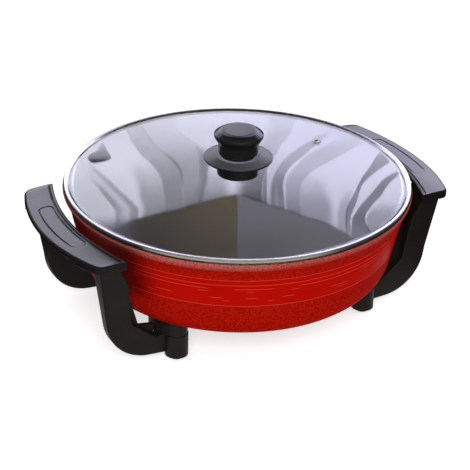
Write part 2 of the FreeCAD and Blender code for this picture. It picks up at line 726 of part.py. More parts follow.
def along_inlet(body, kind, start, stop, y, radius):
    """Pad or pocket a round bar along X at the inlet's height, from start to stop."""
    sketch = new_sketch(body, "YZ_Plane", start)
    circles(sketch, [(y, element_height)], radius)
    return extrude(body, kind, sketch, stop - start, backwards=(kind == "Pocket"))


pin_tip = inlet_front + dim.pin_reach
pin = new_body("rear_terminal_pin")
bush_face = inlet_front + dim.bush_front
pin_shoulder = bush_face + dim.pin_shoulder_gap
along_inlet(pin, "Pad", element_end, pin_shoulder + dim.merge, dim.pin_spread, dim.pin_root_radius)
along_inlet(pin, "Pad", pin_shoulder, pin_tip, dim.pin_spread, dim.pin_radius)
round_edges(pin, dim.pin_tip_round, lambda edge: all_at(edge, "X", pin_tip))
nodes.append(pin)
nodes.append(mirrored(pin, "front_terminal_pin", y=1))

bush = new_body("rear_terminal_bush")
bush_start = element_end + dim.bush_back_gap
along_inlet(bush, "Pad", bush_start, bush_face, dim.pin_spread, dim.bush_radius)
along_inlet(bush, "Pad", bush_start, inlet_back - dim.seat_clearance, dim.pin_spread,
            dim.bush_radius + dim.bush_collar)
along_inlet(bush, "Pocket", bush_start, bush_face, dim.pin_spread,
            dim.pin_root_radius + dim.seat_clearance)
nodes.append(bush)
nodes.append(mirrored(bush, "front_terminal_bush", y=1))

probe = new_body("probe_guide")
probe_start = inlet_front - dim.probe_depth - dim.probe_end_wall
along_inlet(probe, "Pad", probe_start, inlet_front, 0, dim.probe_radius)
along_inlet(probe, "Pocket", inlet_front - dim.probe_depth, inlet_front, 0, dim.probe_bore_radius)
nodes.append(probe)

shroud = new_body("inlet_shroud")
inlet_mouth = inlet_back + dim.inlet_depth
shell = new_sketch(shroud, "YZ_Plane", inlet_back)
outline(shell, box_corners(-dim.inlet_half_width, dim.inlet_half_width, inlet_low, inlet_high,
                           dim.inlet_round))
extrude(shroud, "Pad", shell, dim.inlet_depth)
arm_low_y = dim.inlet_screw_y - dim.inlet_arm_half
arm_high_y = dim.inlet_screw_y + dim.inlet_arm_half
arm_tail = inlet_screw_x - dim.inlet_boss_radius
for arm in (box_corners(arm_tail, inlet_front, arm_low_y, arm_high_y),
            box_corners(arm_tail, inlet_front, -arm_high_y, -arm_low_y)):
    rise(shroud, "Pad", inlet_arm_bottom, inlet_boss_bottom, outline, arm)
hollow = new_sketch(shroud, "YZ_Plane", inlet_front)
hollow_y = dim.inlet_half_width - dim.inlet_wall
outline(hollow, box_corners(-hollow_y, hollow_y, inlet_low + dim.inlet_wall,
                            inlet_high - dim.inlet_wall, dim.inlet_round - dim.inlet_wall))
extrude(shroud, "Pocket", hollow, dim.inlet_depth, backwards=True)
rise(shroud, "Pocket", inlet_arm_bottom - dim.cut_margin, inlet_boss_bottom + dim.cut_margin, circles,
     inlet_screw_places, dim.inlet_screw_radius + dim.screw_play)
for side in (1, -1):
    along_inlet(shroud, "Pocket", inlet_back, inlet_front, dim.pin_spread * side,
                dim.bush_radius + dim.seat_clearance)
along_inlet(shroud, "Pocket", inlet_back, inlet_front, 0, dim.probe_radius + dim.seat_clearance)
nodes.append(shroud)

inlet_screw = screw("inlet_screw", inlet_screw_x, dim.inlet_screw_y, inlet_arm_bottom,
                    dim.inlet_arm_thickness + dim.thread_depth - dim.screw_tip_gap, dim.inlet_screw_radius)
inlet_screws = doc.addObject("Part::Compound", "inlet_screws")
inlet_screws.Links = [inlet_screw, mirrored(inlet_screw, "inlet_screw_across", y=1)]
nodes.append(inlet_screws)


# Legs: an L with a sloped inner bend, a web towards the pan, a boss for the foot and a lug


def leg_inner_x(height):
    """Inner side of the straight stretch between the leg's knee and its neck."""
    lean = (leg_neck_inner_x - leg_knee_inner_x) / (leg_neck_height - leg_knee_height)
    return leg_knee_inner_x + lean * (height - leg_knee_height)


def on_outer_face(edge):
    """True when the edge lies in the leg's face away from the middle of the grip."""
    lean = (leg_top_outer_y - leg_outer_y) / (grip_bottom - leg_flare_height)
    for place in [vertex.Point for vertex in edge.Vertexes] + [edge.CenterOfMass]:
        above = max(0, place.z - leg_flare_height.value)
        if abs(place.y - leg_outer_y.value - lean.value * above) > 0.01:
            return False
    return True


def is_long_edge(edge):
    """True for an edge that runs along the leg's side view on one of its two faces."""
    if all_at(edge, "Z", grip_bottom) or all_at(edge, "Z", leg_flare_height):
        return False
    if edge.BoundBox.XMin < foot_screw_x.value + 0.01:
        return False
    return all_at(edge, "Y", dim.leg_inner_y) or on_outer_face(edge)


leg = new_body("right_rear_leg")
side_view = new_sketch(leg, "XZ_Plane", -leg_top_outer_y)
outline(side_view, [
    corner(leg_top_inner_x, grip_bottom),
    corner(leg_neck_inner_x, leg_neck_height, dim.leg_neck_round),
    corner(leg_knee_inner_x, leg_knee_height, dim.leg_knee_round),
    corner(leg_slope_foot_x, arm_top, dim.leg_slope_foot_round),
    corner(foot_screw_x, arm_top),
    corner(foot_screw_x, dim.arm_bottom),
    corner(leg_corner_x, dim.leg_corner_height, dim.leg_bend_radius),
    corner(leg_top_outer_x, grip_bottom),
])
extrude(leg, "Pad", side_view, leg_top_outer_y - dim.leg_inner_y)
front_view = new_sketch(leg, "YZ_Plane", foot_screw_x - dim.cut_margin)
outline(front_view, [
    corner(leg_outer_y, dim.arm_bottom - dim.cut_margin),
    corner(leg_top_outer_y + dim.cut_margin, dim.arm_bottom - dim.cut_margin),
    corner(leg_top_outer_y + dim.cut_margin, grip_bottom),
    corner(leg_top_outer_y, grip_bottom),
    corner(leg_outer_y, leg_flare_height),
])
leg_reach = leg_top_outer_x - foot_screw_x + dim.cut_margin * 2
extrude(leg, "Pocket", front_view, leg_reach, backwards=True)
round_edges(leg, dim.leg_edge, is_long_edge)
foot_place = [(foot_screw_x, foot_screw_y)]
rise(leg, "Pad", dim.leg_boss_bottom, arm_top, circles, foot_place, dim.leg_boss_radius)
web_end_x = support_far_x + dim.support_radius + dim.rib_gap
web = new_sketch(leg, "XZ_Plane", -(dim.leg_inner_y + dim.rib_thickness))
outline(web, [
    corner(web_end_x, arm_top - dim.leg_edge * 2),
    corner(leg_knee_inner_x + dim.leg_edge * 2, arm_top - dim.leg_edge * 2),
    corner(leg_inner_x(rib_top_height) + dim.leg_edge * 2, rib_top_height),
    corner(leg_inner_x(rib_top_height), rib_top_height),
    corner(rib_shoulder_x, rib_shoulder_height),
    corner(rib_toe_x, rib_height),
    corner(web_end_x, rib_height),
])
extrude(leg, "Pad", web, dim.rib_thickness)
lug_place = (grip_screw_x, grip_screw_y)
lug_root = (grip_screw_x, dim.leg_inner_y + dim.merge)
rise(leg, "Pad", grip_screw_seat, grip_bottom, slot, lug_place, lug_root, dim.lug_radius)
rise(leg, "Pocket", grip_screw_seat, grip_bottom, circles, [lug_place],
     dim.grip_screw_radius + dim.screw_play)
rise(leg, "Pocket", dim.leg_boss_bottom, dim.foot_well_top, circles, foot_place, dim.foot_well_radius)
rise(leg, "Pocket", dim.foot_well_top, arm_top, circles, foot_place, foot_passage_radius)


# Support: moulded block between the leg's arm and the round bottom edge of the pan

support = new_body("right_rear_support")
support_roof = dim.pan_bottom_height + dim.support_wrap
rise(support, "Pad", arm_top, support_roof, slot, foot_place[0],
     (support_far_x, support_far_y), dim.support_radius)
spin(support, "Groove", [
    corner(0, dim.pan_bottom_height - dim.seat_clearance),
    corner(pan_foot_radius, dim.pan_bottom_height - dim.seat_clearance, dim.pan_corner_radius),
    corner(pan_collar_radius, pan_collar_height),
    corner(0, pan_collar_height),
])
rise(support, "Pocket", pan_boss_bottom - dim.seat_clearance, support_roof, circles, foot_place,
     dim.pan_boss_radius + dim.seat_clearance)
rise(support, "Pocket", arm_top, support_roof, circles, foot_place, foot_passage_radius)


# Foot: rubber pad with a stem that plugs the screw's well

foot = new_body("right_rear_foot", foot_screw_x, foot_screw_y, 0)
spin(foot, "Revolution", [
    corner(0, 0),
    corner(dim.foot_radius, 0, dim.foot_round),
    corner(dim.foot_radius, dim.leg_boss_bottom),
    corner(dim.foot_well_radius - dim.seat_clearance, dim.leg_boss_bottom),
    corner(dim.foot_well_radius - dim.seat_clearance, dim.foot_stem_top, dim.foot_stem_round),
    corner(0, dim.foot_stem_top),
])


# The leg, support and foot of each corner

for source, piece in ((leg, "leg"), (support, "support"), (foot, "foot")):
    front = mirrored(source, "right_front_" + piece, y=1)
    nodes.append(source)
    nodes.append(front)
    nodes.append(mirrored(source, "left_rear_" + piece, x=1))
    nodes.append(mirrored(front, "left_front_" + piece, x=1))

foot_screw_length = pan_boss_bottom + dim.thread_depth - dim.screw_tip_gap - foot_screw_seat
foot_screw = screw("foot_screw", foot_screw_x, foot_screw_y, foot_screw_seat,
                   foot_screw_length, dim.foot_screw_radius)
nodes.append(four_of(foot_screw, "foot_screws"))
foot_washer = ring("foot_washer", foot_screw_x, foot_screw_y, foot_screw_seat, washer_top,
                   dim.foot_screw_radius + dim.seat_clearance, dim.foot_well_radius - dim.screw_play)
nodes.append(four_of(foot_washer, "foot_washers"))


# Grip: bowed plate with deep ends, a finger space between them and two screw bosses


def cut_outwards(body, sketch, length):
    """Pocket a front view outwards along X, sinking by the grip's tilt."""
    feature = extrude(body, "Pocket", sketch, length)
    feature.UseCustomVector = True
    feature.Direction = Vector(1, 0, 0)
    bind(feature, "Direction.z", -dim.grip_tilt)


grip = new_body("right_grip")
plate_plan = [
    corner(grip_inner_end_x, grip_half_length, bow=-dim.grip_inner_bow),
    corner(grip_inner_end_x, -grip_half_length),
    corner(grip_outer_end_x, -grip_half_length, bow=dim.grip_outer_bow),
    corner(grip_outer_end_x, grip_half_length),
]
rise(grip, "Pad", grip_bottom, grip_top, outline, plate_plan)
outer_bow_rise = dim.grip_outer_bow - root_of(
    dim.grip_outer_bow * dim.grip_outer_bow - grip_half_length * grip_half_length)
grip_start = grip_inner_end_x - dim.cut_margin
grip_reach = grip_outer_end_x + outer_bow_rise - grip_start + dim.cut_margin
finger_top = grip_top - dim.grip_thin
finger_high_half = finger_half - dim.finger_slope
finger_low = grip_bottom - dim.cut_margin
finger_view = new_sketch(grip, "YZ_Plane", grip_start)
outline(finger_view, [
    corner(-finger_half, finger_low),
    corner(finger_half, finger_low),
    corner(finger_high_half, finger_top, dim.finger_round),
    corner(-finger_high_half, finger_top, dim.finger_round),
])
cut_outwards(grip, finger_view, grip_reach)
dip_bow = (grip_half_length * grip_half_length + dim.grip_dip * dim.grip_dip) / (dim.grip_dip * 2)
cut_top = grip_top + dim.grip_tilt * grip_reach + dim.cut_margin
dip_view = new_sketch(grip, "YZ_Plane", grip_start)
outline(dip_view, [
    corner(-grip_half_length, grip_top, bow=dip_bow),
    corner(grip_half_length, grip_top),
    corner(grip_half_length, cut_top),
    corner(-grip_half_length, cut_top),
])
cut_outwards(grip, dip_view, grip_reach)
boss_places = [lug_place, (grip_screw_x, -grip_screw_y)]
rise(grip, "Pad", grip_bottom, finger_top, circles, boss_places, dim.grip_boss_radius)
grip_bore_top = finger_top + dim.grip_bore_reach
rise(grip, "Pocket", grip_bottom, grip_bore_top, circles, boss_places,
     dim.grip_screw_radius + dim.seat_clearance)
for end_x, rounding in ((grip_inner_end_x, dim.grip_inner_round),
                        (grip_outer_end_x, dim.grip_outer_round)):
    round_edges(grip, rounding, lambda edge: all_at(edge, "X", end_x)
                and abs(abs(edge.CenterOfMass.y) - grip_half_length.value) < 0.01)
nodes.append(grip)
nodes.append(mirrored(grip, "left_grip", x=1))

grip_screw_length = dim.lug_thickness + (grip_bore_top - grip_bottom) - dim.screw_tip_gap
grip_screw = screw("grip_screw", grip_screw_x, grip_screw_y, grip_screw_seat,
                   grip_screw_length, dim.grip_screw_radius)
nodes.append(four_of(grip_screw, "grip_screws"))


# Lid: domed glass in a rolled steel band, with a steam vent

glass_low = ledge_height + dim.lid_band_sheet + dim.seat_clearance
glass_high = glass_low + dim.glass_thickness
glass_radius = dim.lid_band_radius - dim.lid_band_sheet - dim.seat_clearance
dome_radius = dim.lid_band_radius - dim.lid_band_width - dim.dome_margin
glass_top = glass_high + dim.glass_rise
glass_under = glass_low + dim.glass_rise
dome_bow = (dome_radius * dome_radius + dim.glass_rise * dim.glass_rise) / (dim.glass_rise * 2)


def dome_drop(radius):
    """How far the dome lies below its middle at a radius."""
    return dome_bow - root_of(dome_bow * dome_bow - radius * radius)


glass = new_body("lid_glass")
bore_drop = dome_drop(dim.glass_bore_radius)
spin(glass, "Revolution", [
    corner(dim.glass_bore_radius, glass_under - bore_drop, bow=-dome_bow),
    corner(dome_radius, glass_low),
    corner(glass_radius, glass_low),
    corner(glass_radius, glass_high),
    corner(dome_radius, glass_high, bow=dome_bow),
    corner(dim.glass_bore_radius, glass_top - bore_drop),
])
rise(glass, "Pocket", glass_low, glass_top, circles, [(dim.vent_x, dim.vent_y)], dim.vent_hole_radius)
nodes.append(glass)

band = new_body("lid_band")
band_in = dim.lid_band_radius - dim.lid_band_width
band_wall = dim.lid_band_radius - dim.lid_band_sheet
band_top_under = glass_high + dim.seat_clearance
lid_band_top = band_top_under + dim.lid_band_cover
spin(band, "Revolution", [
    corner(band_in, ledge_height),
    corner(dim.lid_band_radius, ledge_height, dim.lid_band_round),
    corner(dim.lid_band_radius, lid_band_top, dim.lid_band_round),
    corner(band_in, lid_band_top, dim.lid_band_lip_round),
    corner(band_in, band_top_under),
    corner(band_wall, band_top_under),
    corner(band_wall, ledge_height + dim.lid_band_sheet),
    corner(band_in, ledge_height + dim.lid_band_sheet),
])
nodes.append(band)

vent_radius = root_of(dim.vent_x * dim.vent_x + dim.vent_y * dim.vent_y)
vent_top = glass_top - dome_drop(vent_radius - dim.vent_flange_radius) + dim.seat_clearance
vent_low = glass_under - dome_drop(vent_radius + dim.vent_flange_radius) - dim.seat_clearance
vent = new_body("vent_eyelet", dim.vent_x, dim.vent_y, 0)
spin(vent, "Revolution", [
    corner(dim.vent_bore_radius, vent_low - dim.vent_flange),
    corner(dim.vent_rolled_radius, vent_low - dim.vent_flange, dim.vent_round),
    corner(dim.vent_rolled_radius, vent_low),
    corner(dim.vent_tube_radius, vent_low),
    corner(dim.vent_tube_radius, vent_top),
    corner(dim.vent_flange_radius, vent_top),
    corner(dim.vent_flange_radius, vent_top + dim.vent_flange, dim.vent_round),
    corner(dim.vent_bore_radius, vent_top + dim.vent_flange, dim.vent_round),
])
nodes.append(vent)


# Knob: guard disc on its collar, turned head, and what holds them through the glass

guard = new_body("knob_guard")
guard_base = glass_top + dim.seat_clearance
collar_top = guard_base + dim.collar_length
guard_height = collar_top + dim.guard_rise
guard_crown = guard_height + dim.guard_crown_rise
knob_passage = dim.knob_screw_radius + dim.screw_play
spin(guard, "Revolution", [
    corner(knob_passage, guard_base),
    corner(dim.collar_radius, guard_base, dim.collar_round),
    corner(dim.collar_radius, collar_top, dim.collar_round),
    corner(dim.guard_radius, guard_height - dim.guard_edge, dim.guard_edge_round),
    corner(dim.guard_radius, guard_height, dim.guard_edge_round),
    corner(dim.guard_crown_radius, guard_crown, dim.guard_crown_round),
    corner(knob_passage, guard_crown),
])
nodes.append(guard)

knob = new_body("knob_head")
neck_bottom = guard_crown + dim.waist_length
neck_top = neck_bottom + dim.neck_length
knob_rim_bottom = neck_top + dim.head_flare
knob_rim_top = knob_rim_bottom + dim.knob_rim
knob_top = knob_rim_top + dim.knob_crown
knob_screw_top = knob_top - dim.knob_screw_depth
knob_bore_top = knob_screw_top + dim.knob_bore_gap
spin(knob, "Revolution", [
    corner(dim.knob_screw_radius + dim.seat_clearance, guard_crown),
    corner(dim.neck_waist_radius, guard_crown),
    corner(dim.neck_waist_radius, neck_bottom - dim.neck_slope, dim.neck_round),
    corner(dim.neck_radius, neck_bottom, dim.neck_round),
    corner(dim.neck_radius, neck_top, dim.neck_fillet),
    corner(dim.knob_radius, knob_rim_bottom, dim.knob_rim_round),
    corner(dim.knob_radius, knob_rim_top, dim.knob_rim_round),
    corner(dim.knob_flat_radius, knob_top, dim.knob_crown_round),
    corner(0, knob_top),
    corner(0, knob_bore_top),
    corner(dim.knob_screw_radius + dim.seat_clearance, knob_bore_top),
])
nodes.append(knob)

washer_low = glass_under - dim.seal_thickness - dim.washer_thickness - dim.seat_clearance
seal_low = washer_low + dim.washer_thickness
seal_high = seal_low + dim.seal_thickness
nodes.append(ring("knob_seal", 0, 0, seal_low, seal_high, knob_passage, dim.seal_radius))
nodes.append(ring("knob_washer", 0, 0, washer_low, seal_low, knob_passage, dim.washer_radius))
knob_screw_length = knob_screw_top - washer_low
nodes.append(screw("knob_screw", 0, 0, washer_low, knob_screw_length, dim.knob_screw_radius))


# Check every object, then write one file for each sub-part

doc.recompute()
for each in doc.Objects:
    if "Invalid" in each.State or "Error" in each.State:
        raise RuntimeError("%s did not compute: %s" % (each.Label, each.State))
    if each.TypeId in ("PartDesign::Pocket", "PartDesign::Groove"):
        if each.Shape.Volume >= each.BaseFeature.Shape.Volume - 1e-3:
            raise RuntimeError("%s cuts nothing" % each.Label)
    if each.TypeId == "Sketcher::SketchObject" and each.solve() != 0:
        raise RuntimeError("%s has constraints that do not hold" % each.Label)
os.makedirs("parts", exist_ok=True)
for each in nodes:
    shape = each.Shape
    if shape.isNull() or not shape.isValid() or not shape.Solids:
        raise RuntimeError("%s has no sound solid" % each.Label)
    shape.exportStep("parts/%s.step" % each.Label)
    print("%-22s solids %d volume %.1f" % (each.Label, len(shape.Solids), shape.Volume))
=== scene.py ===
"""Electric hot pot: red enamelled pan on four moulded legs, two grips, lift-off glass lid.

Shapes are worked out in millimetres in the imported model's frame and stored in metres.
"""
import math

import bmesh
import bpy
import numpy as np
from mathutils import Matrix, Vector


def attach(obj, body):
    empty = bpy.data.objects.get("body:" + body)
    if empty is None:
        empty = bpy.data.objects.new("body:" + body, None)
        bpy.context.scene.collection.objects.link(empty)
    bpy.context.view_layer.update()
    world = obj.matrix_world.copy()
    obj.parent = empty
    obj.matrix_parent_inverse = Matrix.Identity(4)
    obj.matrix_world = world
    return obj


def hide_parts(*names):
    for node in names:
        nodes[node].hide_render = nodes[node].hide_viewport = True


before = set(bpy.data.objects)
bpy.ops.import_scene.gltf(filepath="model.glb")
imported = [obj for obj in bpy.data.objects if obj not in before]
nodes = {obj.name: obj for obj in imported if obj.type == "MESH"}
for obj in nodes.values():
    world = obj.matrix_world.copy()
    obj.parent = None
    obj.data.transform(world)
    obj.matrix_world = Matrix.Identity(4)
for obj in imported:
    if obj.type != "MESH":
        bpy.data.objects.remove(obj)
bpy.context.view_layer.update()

MM = 0.001
FULL_TURN = 2 * math.pi

# How fine the meshes are: steps once round, and the steps of an arc with the longest step
TURNS = 360
GLASS_TURNS = 240
GLASS_RINGS = 58
KNOB_TURNS = 180
BOSS_TURNS = 36
ARC_STEPS = 7
PAN_FINE = (10, 4)
BAND_FINE = (6, 1.2)
GUARD_FINE = (9, 1.5)
HEAD_FINE = (10, 1.2)
NEAR_SHARE = 0.4
TINY = 1e-6
MERGE_WITHIN = 2e-6
SLIVER = 1e-7
SHARP_ANGLE = math.radians(38)

# Pan
PAN_BOTTOM = 36
FLOOR_TOP = 40
PAN_WALL = 4.1
BOTTOM_FLAT = 40
FOOT_RADIUS = 148.3
FOOT_ROUND = 32
FLOOR_ROUND = 28
WALL_TAPER = 18.9
WALL_HEIGHT = 87.2
NECK_HEIGHT = 116
NECK_ROUND = 30
LEDGE = 129
LEDGE_ROUND = 1
LIP_OUT = 171.35
LIP_IN = 170.35
LIP_LINE = [(LIP_OUT, 127.2, 4), (LIP_OUT, 129, 1.6), (LIP_IN, 130.7, 0.25), (LIP_IN, LEDGE)]
# Coated faces: how far out the inside reaches at some heights, and where they face
COATED_FROM = PAN_BOTTOM + 2
COATED_HEIGHTS = [FLOOR_TOP - 1, LEDGE - 1, LEDGE + 0.5]
COATED_REACHES = [146, 165, LIP_IN + 0.05]
COATED_OUTWARDS = 0.25
COATED_UPWARDS = -0.5

# Enamel: smooth belt, and its raised lines with height and, for a dashed line, how many
# dashes there are, how much of each is drawn and where they start
BELT_LOW = 80
BELT_HIGH = 110
BELT_EDGE = 0.5
LINES = [(110, None), (104.2, None), (99.8, (9, 0.72, 0.1)), (96.6, (17, 0.2, 0.4)),
         (89.4, (22, 0.34, 0)), (86.2, (15, 0.16, 0.3)), (80, None)]
LINE_RISE = 0.1
LINE_HALF = 0.28
LINE_STEPS = np.array([-2, -0.9, -0.5, -0.25, 0, 0.25, 0.5, 0.9, 2])
DASH_SOFT = 0.06
# Two slow waves that make the dashes uneven: size, how often round the pan, start
DASH_WAVES = [(0.22, 3, 0), (0.15, 7, 1)]
# Where a pale sheen is painted on the lip, stronger on the left, and where shade is painted on the
# wall beside the grips
PAINTED_SHEEN_HEIGHTS = (122.5, 127.5)
PAINTED_LIGHT_LEFT = (25, 85)
PAINTED_SHEEN_LEFT_MORE = 1.1
PAINTED_SHEEN_LESS_BY_GRIP = 0.6
PAINTED_SHEEN_BY_GRIP = (0.82, 0.92)
PAINTED_SHADE_BY_GRIP = (0.80, 0.92)
PAINTED_SHADE_LOW = (60, 85)
PAINTED_SHADE_HIGH = (126, 129)
PAINTED_SHADE_LESS_ON_LEFT = 0.45

# Lid
BAND_OUT = 170
BAND_IN = 165.2
BAND_LINE = [(BAND_IN, LEDGE), (169.2, LEDGE, 0.5), (169.2, 130.7, 0.3), (BAND_OUT, 131.3, 0.4),
             (BAND_OUT, 133.3), (169.65, 133.55), (BAND_OUT, 133.8), (BAND_OUT, 134.4, 0.5),
             (167.6, 134.75, 0.5), (BAND_IN, 133.5, 0.1), (BAND_IN, 133.2), (169, 133.2),
             (169, 129.85), (BAND_IN, 129.85)]
# Heights over which the band's painted tan reflection comes in
BAND_PAINTED_TAN = (133.4 * MM, 133.25 * MM)
GLASS_LOW = 129.9
GLASS_THICK = 3.6
GLASS_RISE = 6.7
DOME_RADIUS = 164.8
GLASS_RIM = [DOME_RADIUS + 0.6, 168.1, 169.1]
DOME_BOW = (DOME_RADIUS ** 2 + GLASS_RISE ** 2) / (2 * GLASS_RISE)
GLASS_BORE = 4
VENT = (110.5, 36.5)
VENT_HOLE = 3.2
VENT_STEPS = np.arange(-5, 5.01, 0.5)
VENT_PULL_IN = 0.45
VENT_PULL_OUT = 0.5

# Knob: radius and height of the outlines' corners, with the rounding of each
GUARD_LINE = [(2.8, 140.25), (21.7, 140.25, 1), (21.7, 153.4, 1), (34, 155.7, 0.7),
              (34, 157.6, 0.8), (21.4, 159.4, 3), (2.8, 159.4)]
HEAD_LINE = [(2.55, 159.4), (17.4, 159.4), (17.4, 161.7, 0.6), (20.1, 162.7, 0.6),
             (20.1, 172.6, 2.5), (24.2, 179, 1.3), (24.2, 181.8, 1.3), (18.2, 186, 12),
             (0, 186)]
HEAD_BORE = [(0, 172.5), (2.55, 172.5)]

# Grips
GRIP_HALF = 86
GRIP_FRONT = 89.3
GRIP_REAR = 87.3
GRIP_IN = 160.2
GRIP_OUT = 190.2
GRIP_IN_BOW = 256.6
GRIP_OUT_BOW = 220.5
GRIP_TOP = 124
GRIP_LOW = 113
GRIP_DIP = 1.1
GRIP_TILT = 0.062
GRIP_LEVEL_AT = 159.2
GRIP_EDGE = 0.5
GRIP_IN_CORNER = 1.5
GRIP_OUT_CORNER = 5
LOW_ROUND = 1.2
TOP_IN_ROUND = 1.5
TOP_OUT_ROUND = 3
FINGER_TOP = 118.4
FINGER_HALF = 62.5
FINGER_SOFT = 7.5
CROWN = 0.35
REAR_DROOP = 0.14
REAR_DROOP_FROM = 6
FRONT_DROOP = 0.3
FRONT_DROOP_IN = 2.1
FRONT_DROOP_FROM = (36, 92)
TIP_STEPS = np.array([0, 0.05, 0.15, 0.3, 0.5, 0.9, 1.4, 2, 2.8, 3.8])
LENGTH_STEPS = np.arange(-84.5, 83, 1)
UNDER_STEPS = 24
TOP_STEPS = 96
INNER_SIDE = [0.3, 0.5, 0.7]
OUTER_SIDE = [0.6, 0.4, 0.25]
TOP_FROM = -0.02
FLAT_TOP = 0.93
# Small forms of the top, each a distance, a half width and a height
RIM = (2.5, 0.7, 0.3)
RIM_GROOVE = (4.3, 0.6, -0.8)
RIM_STARTS = (1.5, 5)
PANEL_FROM_IN = 7.2
PANEL_FROM_OUT = 10.4
PANEL_HALF = 44
PANEL_CORNER = 5.5
PANEL_GROOVE = (PANEL_CORNER, 0.55, -0.6)
PANEL_FAINT = 0.25
PANEL_FAINT_TO = (-44, -30)
PANEL_STEPS = np.arange(PANEL_HALF - 6.5, PANEL_HALF + 1.6, 0.3)
# Boss under each end of a grip: outline, distance from the middle, distances along
GRIP_BOSS_LINE = [(0, 113), (5.6, 113, 0.4), (5.6, 119), (0, 119)]
GRIP_BOSS_OUT = 176
GRIP_BOSS_ALONG = (-54, 54)
GRIP_BOSS_TURNS = 40

# Legs' ribs: where each turns up the leg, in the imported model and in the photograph
RIB_TOE = (135.5, 36.5)
RIB_TOE_SEEN = (139.8, 38.9)
RIB_TOE_NEAR = 0.02

# Under the pan: the element's channel, then the bosses' places, radii and lower ends
CHANNEL_LINE = [(88.95, 37), (88.95, 28, 0.6), (91.45, 28), (91.45, 35), (98.55, 35),
                (98.55, 28), (101.05, 28, 0.6), (101.05, 37), (95, 37)]
CHANNEL_RADIUS = 95
CHANNEL_GAP = 34
CHANNEL_STEPS = 200
CASTING_TOP = 37
CASTING_ROUND = 0.5
CASTING_BOSSES = [((-104, -78), 5.6, 32.5), ((-104, 78), 5.6, 32.5), ((104, -78), 5.6, 32.5),
                  ((104, 78), 5.6, 32.5), ((120, -22.4), 5, 31), ((120, 22.4), 5, 31)]


# Shapes from numpy grids


def rounded(corners, steps=ARC_STEPS):
    """Line through corners (x, y, radius): each corner with a radius becomes the arc that
    touches both sides, its points turning evenly about the arc's middle, which lies halfway
    between the sides at the radius divided by the sine of half their opening."""
    spots = np.array([(c[0], c[1]) for c in corners], float)
    line = [spots[:1]]
    for i in range(1, len(corners) - 1):
        radius = corners[i][2] if len(corners[i]) > 2 else 0
        if radius <= 0:
            line.append(spots[i:i + 1])
            continue
        back = spots[i - 1] - spots[i]
        ahead = spots[i + 1] - spots[i]
        back /= np.hypot(*back)
        ahead /= np.hypot(*ahead)
        opening = np.arccos(np.clip(back @ ahead, -1, 1))
        reach = radius / np.tan(opening / 2)
        halfway = back + ahead
        middle = spots[i] + halfway / np.hypot(*halfway) * radius / np.sin(opening / 2)
        start = spots[i] + back * reach - middle
        turn = (math.pi - opening) * np.sign(start[0] * ahead[1] - start[1] * ahead[0])
        swing = np.linspace(0, turn, steps)
        line.append(middle + np.stack([
            start[0] * np.cos(swing) - start[1] * np.sin(swing),
            start[0] * np.sin(swing) + start[1] * np.cos(swing)], axis=1))
    line.append(spots[-1:])
    return np.concatenate(line)


def dense(line, spacing):
    """The same line with more points, so that no step is much longer than the spacing. An
    even point that nearly meets one of the line's own is left out."""
    steps = np.hypot(*np.diff(line, axis=0).T)
    along = np.concatenate([[0], np.cumsum(steps)])
    fine = np.arange(0, along[-1], spacing)
    near = np.abs(fine[:, None] - along[None, :]).min(axis=1) < spacing * NEAR_SHARE
    spots = np.sort(np.concatenate([along, fine[~near]]))
    return np.stack([np.interp(spots, along, line[:, 0]),
                     np.interp(spots, along, line[:, 1])], axis=1)


def outline(corners, arc_steps, spacing):
    """The rounded line through the corners, with its long steps divided."""
    return dense(rounded(corners, arc_steps), spacing)


def grid(points, wrap_u=False, wrap_v=False):
    """Points on a (u, v) grid as one vertex list with a quad for every cell."""
    rows, columns = points.shape[:2]
    index = np.arange(rows * columns).reshape(rows, columns)
    if wrap_u:
        index = np.concatenate([index, index[:1]], axis=0)
    if wrap_v:
        index = np.concatenate([index, index[:, :1]], axis=1)
    quads = np.stack([index[:-1, :-1], index[1:, :-1], index[1:, 1:], index[:-1, 1:]], axis=-1)
    return points.reshape(-1, 3), quads.reshape(-1, 4)


def spun(line, turns=TURNS, middle=(0, 0), closed=False):
    """Line of (radius, height) turned about an upright axis: x and y are the radius times
    the cosine and sine of the turn."""
    turn = np.linspace(0, FULL_TURN, turns, endpoint=False)[:, None]
    radius, height = line[None, :, 0], line[None, :, 1]
    points = np.stack([middle[0] + radius * np.cos(turn), middle[1] + radius * np.sin(turn),
                       height + 0 * turn], axis=-1)
    return grid(points, wrap_u=True, wrap_v=closed)


def mesh_of(name, points, faces, finishes):
    """A mesh of points in millimetres, with its materials."""
    mesh = bpy.data.meshes.new(name)
    mesh.from_pydata((points * MM).tolist(), [], faces.tolist())
    for one in finishes:
        mesh.materials.append(one)
    return mesh


def placed(name, data):
    """An object of the data at the frame's origin."""
    made = bpy.data.objects.new(name, data)
    bpy.context.scene.collection.objects.link(made)
    return made


def piece(name, parts, body, replaced, finishes):
    """One object out of grids: doubles merged, open ends closed, normals outwards, and
    edges sharper than the angle kept sharp."""
    points, faces, offset = [], [], 0
    for some_points, some_faces in parts:
        points.append(some_points)
        faces.append(some_faces + offset)
        offset += len(some_points)
    mesh = mesh_of(name, np.concatenate(points), np.concatenate(faces), finishes)
    work = bmesh.new()
    work.from_mesh(mesh)
    bmesh.ops.remove_doubles(work, verts=work.verts, dist=MERGE_WITHIN)
    bmesh.ops.dissolve_degenerate(work, edges=work.edges, dist=SLIVER)
    bmesh.ops.holes_fill(work, edges=work.edges, sides=0)
    bmesh.ops.recalc_face_normals(work, faces=work.faces)
    work.to_mesh(mesh)
    work.free()
    mesh.shade_smooth()
    mesh.set_sharp_from_angle(angle=SHARP_ANGLE)
    made = placed(name, mesh)
    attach(made, body)
    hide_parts(*replaced)
    return made


def triples(items, key):
    """Three numbers of every vertex or face of a mesh, as an array."""
    flat = np.empty(len(items) * 3)
    items.foreach_get(key, flat)
    return flat.reshape(-1, 3)


